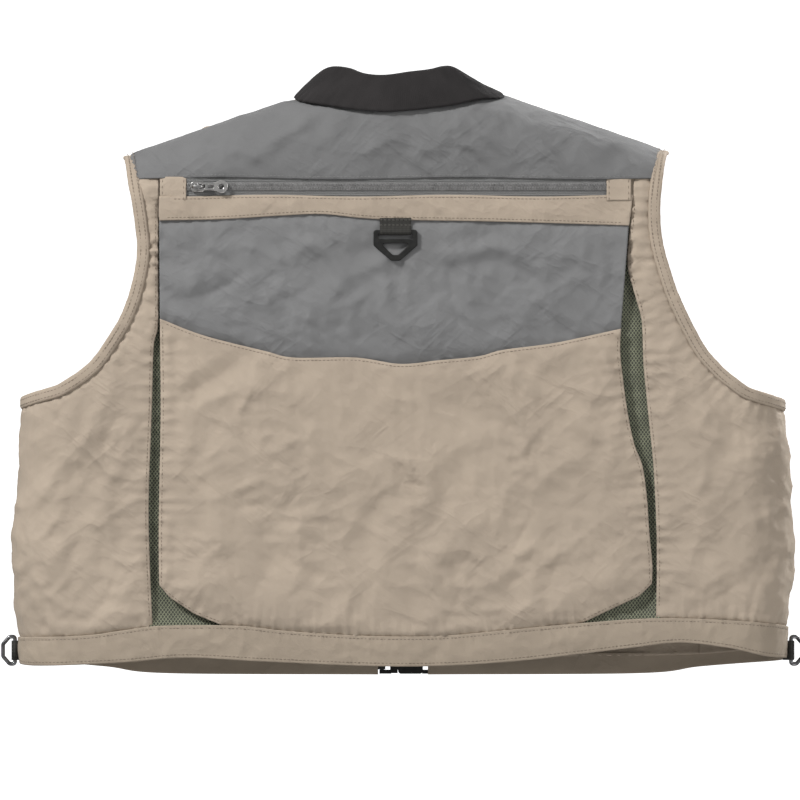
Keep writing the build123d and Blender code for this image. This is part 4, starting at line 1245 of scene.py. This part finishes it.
def zip_pull(name, place, body, node):
    """Flat pull with a round eye, and its pin under the bridge."""
    origin, x, y = (np.asarray(v, float) for v in place)
    z = np.cross(x, y)
    eye = circle(18.5, 0, 5.2, 40)
    eye = eye[eye[:, 0] > 17.4]
    eye = eye[np.argsort(np.arctan2(eye[:, 1], eye[:, 0] - 18.5))]
    outline = np.vstack([[(-0.9, 2.9), (-0.9, -2.9), (5, -3)], [(10, -3.0), (14, -3.5)], eye,
                         [(14, 3.5), (10, 3.0), (5, 3)]])
    plate(f"{name}_tab", outline, [rounded([(1.0, -1.6), (5.4, -1.6), (5.4, 1.6), (1.0, 1.6)], 0.7),
                                   circle(18.5, 0, 2.2), rounded([(7.6, -1.1), (12.6, -1.2), (12.6, 1.2),
                                                                  (7.6, 1.1)], 1.0)],
          2.7, 4.1, 0.45, place, "zip_metal", body, [node])
    at = origin + z * 3.4
    sweep(f"{name}_pin", straight(at - y * 3, at + y * 3, z, 5), oval(1.8, 1.8, 14, 1.0), "zip_metal",
          body=body)


back_place = ((-163, -COIL_OUT, ZIP_Z), (1, 0, 0), (0, 0, 1))
front_place = ((0, COIL_OUT, -169), (0, 0, -1), (-1, 0, 0))
zip_slider("back_slider", back_place, "back_slider", "back_zip_slider")
zip_pull("back_pull", back_place, "back_pull", "back_zip_pull")
zip_slider("front_slider", front_place, "front_slider", "front_zip_slider")
zip_pull("front_pull", front_place, "front_pull", "front_zip_pull")

# ------------------------------------------------------------ pockets

CHEST_X, CHEST_WIDE, CHEST_TOP, CHEST_LONG, CHEST_DEEP = 110, 120, -138, 110, 22
LOWER_X, LOWER_WIDE, LOWER_TOP, LOWER_LONG, LOWER_DEEP = 130, 160, -285, 140, 28
FOOT_ROUND = 11  # radius of a pocket's foot


def shell(name, grid, thick, slot, body=REST, replaces=()):
    """A closed sheet from a grid of outer points in mm and its thickness inward."""
    down, over = np.gradient(grid, axis=0), np.gradient(grid, axis=1)
    normal = np.cross(over, down)
    normal /= np.maximum(np.linalg.norm(normal, axis=2, keepdims=True), 1e-9)
    rows, columns = grid.shape[:2]
    count = rows * columns
    index = np.arange(count).reshape(rows, columns)
    rim = np.concatenate([index[0, :], index[1:, -1], index[-1, -2::-1], index[-2:0:-1, 0]])
    after = np.roll(rim, -1)
    quads = grid_faces(rows, columns)
    faces = np.vstack([quads, quads[:, ::-1] + count, np.stack([rim, rim + count, after + count, after], -1)])
    across = run_along(grid[0])
    along = run_along(grid[:, columns // 2])
    uv = np.stack(np.broadcast_arrays(across[None], along[:, None]), -1).reshape(-1, 2)
    points = np.vstack([grid.reshape(-1, 3), (grid - normal * thick).reshape(-1, 3)])
    piece = add_mesh(name, points * MM, faces[:, ::-1], np.vstack([uv, uv]) * MM, slot)
    settle_in(piece, body, replaces)


def pouch(name, x, wide, top, long, deep, node, seed, pleat=0.0, closed=False):
    """A pocket: its walls and front in one piece, rounded in under its foot and sewn to the chest."""
    half, base = wide / 2, CHEST_FACE
    path = rounded([(-half, base - 40), (-half, base + deep), (half, base + deep), (half, base - 40)], 8, 12)
    path = path[path[:, 1] >= base - 0.01]
    path = np.vstack([[(-half, base)], path[(path[:, 1] > base + 0.5)], [(half, base)]])
    path = even(path, 120)
    rows = [(z, 1.0, 1.0) for z in np.linspace(top, top - long + FOOT_ROUND, 44)]
    for a in np.linspace(0, math.pi / 2, 13)[1:]:
        rows.append((top - long + FOOT_ROUND - FOOT_ROUND * math.sin(a), max(math.cos(a), 0.07),
                     1 - 0.03 * math.sin(a)))
    if closed:
        lid = [(top - 3 + 3 * math.sin(a), 0.86 + 0.14 * math.cos(a), 1 - 0.018 * math.sin(a))
               for a in np.linspace(math.pi / 2, 0, 6)]
        rows = [(top, depth, 0.982) for depth in np.linspace(0.06, 0.84, 8)] + lid + rows[2:]
    rows = np.array(rows)
    grid = np.empty((len(rows), len(path), 3))
    u = np.linspace(0, 1, len(path))
    for k, (z, depth, narrow) in enumerate(rows):
        v = (top - z) / long
        y = base + (path[:, 1] - base) * depth
        px = path[:, 0] * narrow
        front = np.clip((path[:, 1] - base - deep + 4) / 4, 0, 1)
        wall = np.clip(1 - np.abs(path[:, 1] - base - deep / 2) / (deep / 2), 0, 1)
        full = math.sin(math.pi * min(max(v, 0), 1)) ** 0.7 if depth > 0.99 else 0.0
        soft = 0.9 * noise(path[:, 0] / 24, np.full(len(path), z / 21), seed) + 0.4 * creases(
            path[:, 0], np.full(len(path), z), 16.0, 0.5, seed + 1)
        pinch = 0.5 * np.sin(z / 1.25) * np.exp(-np.minimum(u, 1 - u) * 42) * (depth > 0.99)
        y = y + front * full * (soft * 0.8 - 0.9) * np.sin(math.pi * u) ** 0.4 + pinch * 0.3
        px = px - np.sign(path[:, 0]) * (pleat * wall * full + 0.35 * (1 - front) * soft * full)
        grid[k] = np.stack([x + px, y, np.full(len(path), z)], -1)
    shell(name, grid, 1.4, "tan_cloth", replaces=[node])
    foot = top - long
    trim = np.array([(x - half - 1.2, top), (x - half - 1.2, foot + 4), (x - half + 4, foot - 1.2),
                     (x + half - 4, foot - 1.2), (x + half + 1.2, foot + 4), (x + half + 1.2, top)])
    trim = curve(even(trim, 40), 150)
    at = np.stack([trim[:, 0], np.full(len(trim), base + 1.6), trim[:, 1]], -1)
    sweep(f"{name}_piping", line_frames(at, (0, 1, 0)), oval(2.8, 2.6, 12, 0.9), "tan_binding")
    for hand in (-1, 1):
        edge = x + hand * (half - 9)
        stitch_run((edge, base + deep - 0.35, top - 4), (edge, base + deep - 0.35, foot + 14), (0, 1, 0))


for side, word in SIDES:
    x = side * CHEST_X
    pouch(f"chest_pocket_{word}_cloth", x, CHEST_WIDE, CHEST_TOP, CHEST_LONG, CHEST_DEEP,
          f"chest_pocket_{word}", 90 + side)
    face = CHEST_FACE + CHEST_DEEP
    plate(f"hook_patch_{word}_pad", rounded([(-25, -9), (25, -9), (25, 9), (-25, 9)], 2.5), [], 0, 0.95, 0.3,
          ((x, face, CHEST_TOP - 28), (-1, 0, 0), (0, 0, 1)), "hook_tape", REST, [f"hook_patch_{word}"])

    # flap: from its hinge over the pocket's mouth and down in front, with round lower corners
    roof, front_y, drop, half = CHEST_TOP + 2.3, face + 3.3, 42.0, 62.0
    bend = [(front_y - 4 + 4 * math.sin(a), roof - 4 + 4 * math.cos(a))
            for a in np.linspace(0, math.pi / 2, 12)]
    section = even([(CHEST_FACE + 0.5, roof), *bend, (front_y, roof - 2 - drop)], 400)
    total = run_of(section)
    xs = np.linspace(-half, half, 90)
    cut = 14 - np.sqrt(np.maximum(14.0**2 - np.maximum(np.abs(xs) - (half - 14), 0) ** 2, 0))
    v = np.linspace(0, 1, 50)[:, None] * (1 - cut / total)[None]
    y, z = (np.interp(v, np.linspace(0, 1, 400), section[:, k]) for k in (0, 1))
    ease = np.clip(v * 2 - 0.9, 0, 1)
    y = y + ease * (0.35 * noise(xs[None] / 23 + 0 * v, v * 3, 95 + side) + 0.15)
    shell(f"chest_flap_{word}_cloth", np.stack([x + xs[None] + 0 * v, y, z], -1), 1.7, "tan_cloth",
          f"chest_flap_{word}", [f"chest_flap_{word}"])
    border = np.stack([x + xs, y[-1] - 0.85, z[-1] + 2.6], -1)
    edges = [np.stack([np.full(26, x + hand * (half - 2.6)), y[16:42, k] - 0.85, z[16:42, k]], -1)
             for hand, k in ((-1, 0), (1, -1))]
    inset = np.vstack([edges[0], border[6:-6], edges[1][::-1]])
    inset = curve(even(inset, 70), 150)
    sweep(f"chest_flap_{word}_binding", line_frames(inset, (0, 1, 0)), oval(6.2, 2.5, 16, 0.62),
          "tan_binding", body=f"chest_flap_{word}")
    inner_line = inset + (inset.mean(0) - inset) * (0.035, 0, 0.06) + (0, 1.35, 0)
    STITCHES.setdefault(("thread_tan", f"chest_flap_{word}"), []).append(
        line_frames(even(inner_line, 48), (0, 1, 0)))

    # lower pocket with a zip along its top
    x = side * LOWER_X
    pouch(f"lower_pocket_{word}_cloth", x, LOWER_WIDE, LOWER_TOP, LOWER_LONG, LOWER_DEEP,
          f"lower_pocket_{word}", 100 + side, pleat=2.2, closed=True)
    mid, coil_top = CHEST_FACE + LOWER_DEEP / 2, LOWER_TOP + 2
    sweep(f"lower_zip_tape_{word}_cloth",
          straight((x - 70, mid, LOWER_TOP), (x + 70, mid, LOWER_TOP), (0, 0, 1), 60),
          ribbed(20, 0.95, 9, 0.25), "zip_tape", replaces=[f"lower_zip_tape_{word}"])
    teeth(f"lower_zip_teeth_{word}", (x - 66, mid, coil_top), (x + 66, mid, coil_top), (0, 0, 1),
          [f"lower_zip_coil_{word}"])
    place = ((x - 58, mid, coil_top), (1, 0, 0), (0, 1, 0))
    zip_slider(f"pocket_slider_{word}", place, f"pocket_slider_{word}", f"lower_zip_slider_{word}")
    zip_pull(f"pocket_pull_{word}", place, f"pocket_pull_{word}", f"lower_zip_pull_{word}")

# ------------------------------------------------------------ fly patch

random = np.random.default_rng(7)
patch_x, patch_z = -108.0, -83.0
plate("fly_patch_base", rounded([(-42, -25), (42, -25), (42, 25), (-42, 25)], 5), [], 0, 1.3, 0.4,
      ((patch_x, CHEST_FACE, patch_z), (-1, 0, 0), (0, 0, 1)), "webbing", REST, ["fly_patch_backing"])
pad = plate("fly_patch_pile", rounded([(-39, -22), (39, -22), (39, 22), (-39, 22)], 5), [], 1.2, 6.4, 2.2,
            ((patch_x, CHEST_FACE, patch_z), (-1, 0, 0), (0, 0, 1)), "fleece", REST, ["fly_patch"])
count = 3600
u, w = random.uniform(-38.4, 38.4, count), random.uniform(-21.4, 21.4, count)
edge = np.minimum(39 - np.abs(u), 22 - np.abs(w))
high = CHEST_FACE + 1.2 + 5.0 * np.sqrt(np.clip(edge / 3.0, 0.05, 1))
outward = np.stack([0.4 * np.sign(u) * (edge < 4), 0 * u + 0.5, 0.4 * np.sign(w) * (edge < 4)], -1)
direction = random.normal(size=(count, 3)) * (1, 0.55, 1) + outward
at = np.stack([patch_x + u, high, patch_z + w], -1)
curl_shape, curl_faces = grain(3.2, 0.75, 0.75, bend=0.7)
scatter("fly_patch_curls", curl_shape, curl_faces,
        tidy_frames(at, direction, random.normal(size=(count, 3)) + (0, 1.2, 0)), "fleece")

# ------------------------------------------------------------ webbing, rings, loop

BAR, PLY = 1.6, 1.2
WRAP = 2.28  # from a bar's middle to the middle of the webbing round it
STAND = BAR + 0.08 + PLY + 0.3
WEB_THICK = 1.15


def band_frames(path, across):
    """Frames along a path in mm, for webbing whose width lies along a fixed direction."""
    path = np.asarray(path, float)
    along = np.gradient(path, axis=0)
    return tidy_frames(path, along, np.cross(along, np.broadcast_to(across, path.shape)))


def webbing(name, path, across, wide, nodes, body=REST):
    """Webbing of a width along a path, standing for CAD nodes."""
    profile = ribbed(wide, WEB_THICK, 2 * max(3, int(wide / 2.2)), 0.16, 49) - (0, WEB_THICK / 2)
    sweep(name, band_frames(path, across), profile, "webbing", body=body, replaces=nodes)


def on_face(path, x, z, facing):
    """(along, height) points set on the back (facing -1) or the chest (1), running up from (x, z)."""
    return np.stack([np.full(len(path), x), facing * HALF_DEPTH + facing * path[:, 1], z + path[:, 0]], -1)


def folded(sewn):
    """(along, height) of webbing folded round a bar at (0, STAND): sewn plies, then the loop."""
    turn = [(WRAP * math.sin(a), STAND + WRAP * math.cos(a)) for a in np.linspace(0.35, -math.pi, 26)]
    upper = curve([(sewn, 1.85), (sewn * 0.6, 1.85), (4.6, 2.3), (2.6, 4.3), turn[0]], 24)
    return np.vstack([upper[:-1], turn, [(2, 0.62), (sewn * 0.5, 0.6), (sewn, 0.6)]])


net_x, net_z = -6.0, -107.0
webbing("net_ring_web", on_face(folded(11), net_x, net_z, -1), (1, 0, 0), 25, ["net_ring_webbing"])
for z in (net_z + 9.4, net_z + 5.4):
    stitch_run((net_x - 11.5, -HALF_DEPTH - 2.55, z), (net_x + 11.5, -HALF_DEPTH - 2.55, z), (0, -1, 0),
               "thread_dark", 2.6)
plate("net_ring_frame",
      rounded([(-17.5, 1.6), (17.5, 1.6), (17.5, -11), (3.6, -23), (-3.6, -23), (-17.5, -11)], 2.6),
      [rounded([(-13.5, -5.8), (13.5, -5.8), (13.5, -1.7), (-13.5, -1.7)], 1.2),
       rounded([(-11.8, -9.2), (11.8, -9.2), (2.2, -18.4), (-2.2, -18.4)], 1.8)],
      -1.6, 1.6, 0.7, ((net_x, -HALF_DEPTH - STAND, net_z), (1, 0, 0), (0, 0, 1)), "black_plastic",
      "net_ring", ["net_ring"])


def wire(name, origin, x, y, half, depth, body, node):
    """A ring of round wire with a straight bar at the origin and a narrower foot."""
    origin, x, y = (np.asarray(v, float) for v in (origin, x, y))
    path = rounded([(-half, 0), (half, 0), (half, -0.45 * depth), (0.45 * half, -depth),
                    (-0.45 * half, -depth), (-half, -0.45 * depth)], 2.6, 10)
    path = even(np.vstack([path, path[:1]]), 121)[:-1]
    at = origin + path[:, :1] * x + path[:, 1:] * y
    along = np.roll(at, -1, 0) - np.roll(at, 1, 0)
    up = np.broadcast_to(np.cross(x, y), at.shape)
    sweep(name, tidy_frames(at, along, up), oval(2 * BAR, 2 * BAR, 18, 1.0), "ring_metal", closed=True,
          body=body, replaces=[node])


RING_Z = -441.0  # height of the side rings and their tabs


for side, word in SIDES:
    bar_x = HALF_WIDTH + BAR + 0.08 + PLY + 1.5
    wire(f"side_ring_{word}_wire", (side * bar_x, 0, RING_Z), (0, 0, 1), (-side, 0, 0), 10.9, 9.6,
         f"side_ring_{word}", f"side_ring_{word}")
    turn = [(bar_x + WRAP * math.cos(a), WRAP * math.sin(a)) for a in np.linspace(-2.6, 2.6, 30)]
    path = np.array([(bar_x - 6.4, -0.62), (bar_x - 4, -0.7), *turn, (bar_x - 4, 0.7),
                     (bar_x - 6.4, 0.62)])
    webbing(f"side_tab_{word}_web", np.stack([side * path[:, 0], path[:, 1], np.full(len(path), RING_Z)], -1),
            (0, 0, 1), 15.6, [f"side_tab_{word}"])

tool_x, tool_z = 108.0, -84.0
webbing("tool_tab_web", on_face(folded(18), tool_x, tool_z, 1), (1, 0, 0), 16, ["tool_tab"])
for z in (tool_z + 16, tool_z + 7):
    stitch_run((tool_x - 6.5, HALF_DEPTH + 2.55, z), (tool_x + 6.5, HALF_DEPTH + 2.55, z), (0, 1, 0),
               "thread_dark", 2.6)
wire("tool_ring_wire", (tool_x, HALF_DEPTH + STAND, tool_z), (-1, 0, 0), (0, 0, 1), 10.9, 12, "tool_ring",
     "tool_ring")

bow = curve([(-30, 2.2), (-26, 5.2), (-20, 8.8), (-10, 9.4), (10, 9.4), (20, 8.8), (26, 5.2), (30, 2.2)], 60)
webbing("hanging_loop_web", np.stack([bow[:, 0], bow[:, 1] - HALF_DEPTH, np.full(60, -28.0)], -1),
        (0, 0, 1), 8, ["hanging_loop"])

# ------------------------------------------------------------ waist buckle's straps

BUCKLE_X, BUCKLE_Y, BUCKLE_Z = 3.0, HALF_DEPTH + 4.5, -450.0
for side, body, node in ((-1, "plug", "plug_strap"), (1, REST, "socket_strap")):
    bar = 20.0
    turn = [(bar - WRAP * math.sin(a), WRAP * math.cos(a)) for a in np.linspace(-0.2, math.pi, 24)]
    upper = curve([(66, -2.3), (40, -2.3), (26, -2.0), (22.4, 0.4), turn[0]], 40)
    path = np.vstack([upper[:-1], turn, [(bar + 3, -3.2), (bar + 12, -3.5), (64, -3.55)]])
    webbing(f"{node}_web", np.stack([BUCKLE_X + side * path[:, 0], BUCKLE_Y + path[:, 1],
                                     np.full(len(path), BUCKLE_Z)], -1), (0, 0, 1), 15, [node], body)
    for reach in (34, 60):
        at = (BUCKLE_X + side * reach, BUCKLE_Y - 1.62, BUCKLE_Z)
        stitch_run(np.add(at, (0, 0, -6)), np.add(at, (0, 0, 6)), (0, 1, 0), "thread_dark", 2.6, body)

finish_stitches()

# the hard parts that stay as the CAD made them
for node, slot in (("buckle_socket", "black_plastic"), ("buckle_plug", "black_plastic"),
                   ("front_zip_box", "zip_metal")):
    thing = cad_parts[node]
    for k in range(len(thing.material_slots)):
        thing.material_slots[k].material = MATERIALS[slot]

# ------------------------------------------------------------ floor, light, camera

# the floor runs up into a round wall, and it neither shades nor tints the vest
ROUND = 64  # points round it
turn = np.linspace(0, 2 * math.pi, ROUND, endpoint=False)
section = [(1, 0.0), (4, 0.0), (14.0, 0.0), (15.5, 0.4), (16.4, 1.6), (16.6, 4.0), (16.6, 16.0)]
points = [(r * math.cos(a), r * math.sin(a), z - 0.62) for r, z in section for a in turn]
floor = add_mesh("floor", points, grid_faces(len(section), ROUND, wrap_columns=True).tolist()
                 + [list(range(ROUND))])
pale = Nodes("floor_paper")
fibre = pale.noise(pale.place(uv=False), 3.0)
floor.data.materials.append(pale.finish(pale.tint(fibre, (246, 246, 246), (252, 252, 252)), rough=0.9))
pale.shader.inputs["Emission Color"].default_value = (1, 1, 1, 1)
pale.shader.inputs["Emission Strength"].default_value = 0.85
floor.visible_diffuse = floor.visible_glossy = floor.visible_shadow = False
floor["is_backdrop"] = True

world = bpy.data.worlds.new("studio")
world.use_nodes = True
world.node_tree.nodes["Background"].inputs[0].default_value = (1, 1, 1, 1)
world.node_tree.nodes["Background"].inputs[1].default_value = 0.40
bpy.context.scene.world = world


def area_light(name, at, target, size, energy):
    light = bpy.data.lights.new(name, "AREA")
    light.shape, light.size, light.energy = "DISK", size, energy
    thing = bpy.data.objects.new(name, light)
    thing.location = at
    thing.rotation_euler = (Vector(target) - Vector(at)).to_track_quat("-Z", "Y").to_euler()
    bpy.context.scene.collection.objects.link(thing)


area_light("low", (0.4, -2.2, -2.2), (0, 0.03, -0.45), 1.2, 10)
area_light("key", (-2.0, -1.7, 1.8), (0, 0, -0.25), 0.6, 112)
area_light("fill", (2.6, -2.2, 0.6), (0, 0, -0.25), 1.2, 33)
area_light("chest", (2.0, 1.8, 1.6), (0, 0, -0.25), 0.8, 115)

CAMERA_BACK, VIEW_WIDE, SENSOR = 8.0, 0.64, 36
lens_data = bpy.data.cameras.new("camera")
camera = bpy.data.objects.new("camera", lens_data)
camera.location = (-0.0024, -CAMERA_BACK, -0.2408)
camera.rotation_euler = (math.pi / 2, 0, 0)
lens_data.sensor_width = SENSOR
lens_data.lens = SENSOR * CAMERA_BACK / VIEW_WIDE
lens_data.clip_end = 100
bpy.context.scene.collection.objects.link(camera)
bpy.context.scene.camera = camera
bpy.context.scene.view_settings.view_transform = "Standard"

low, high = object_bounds()
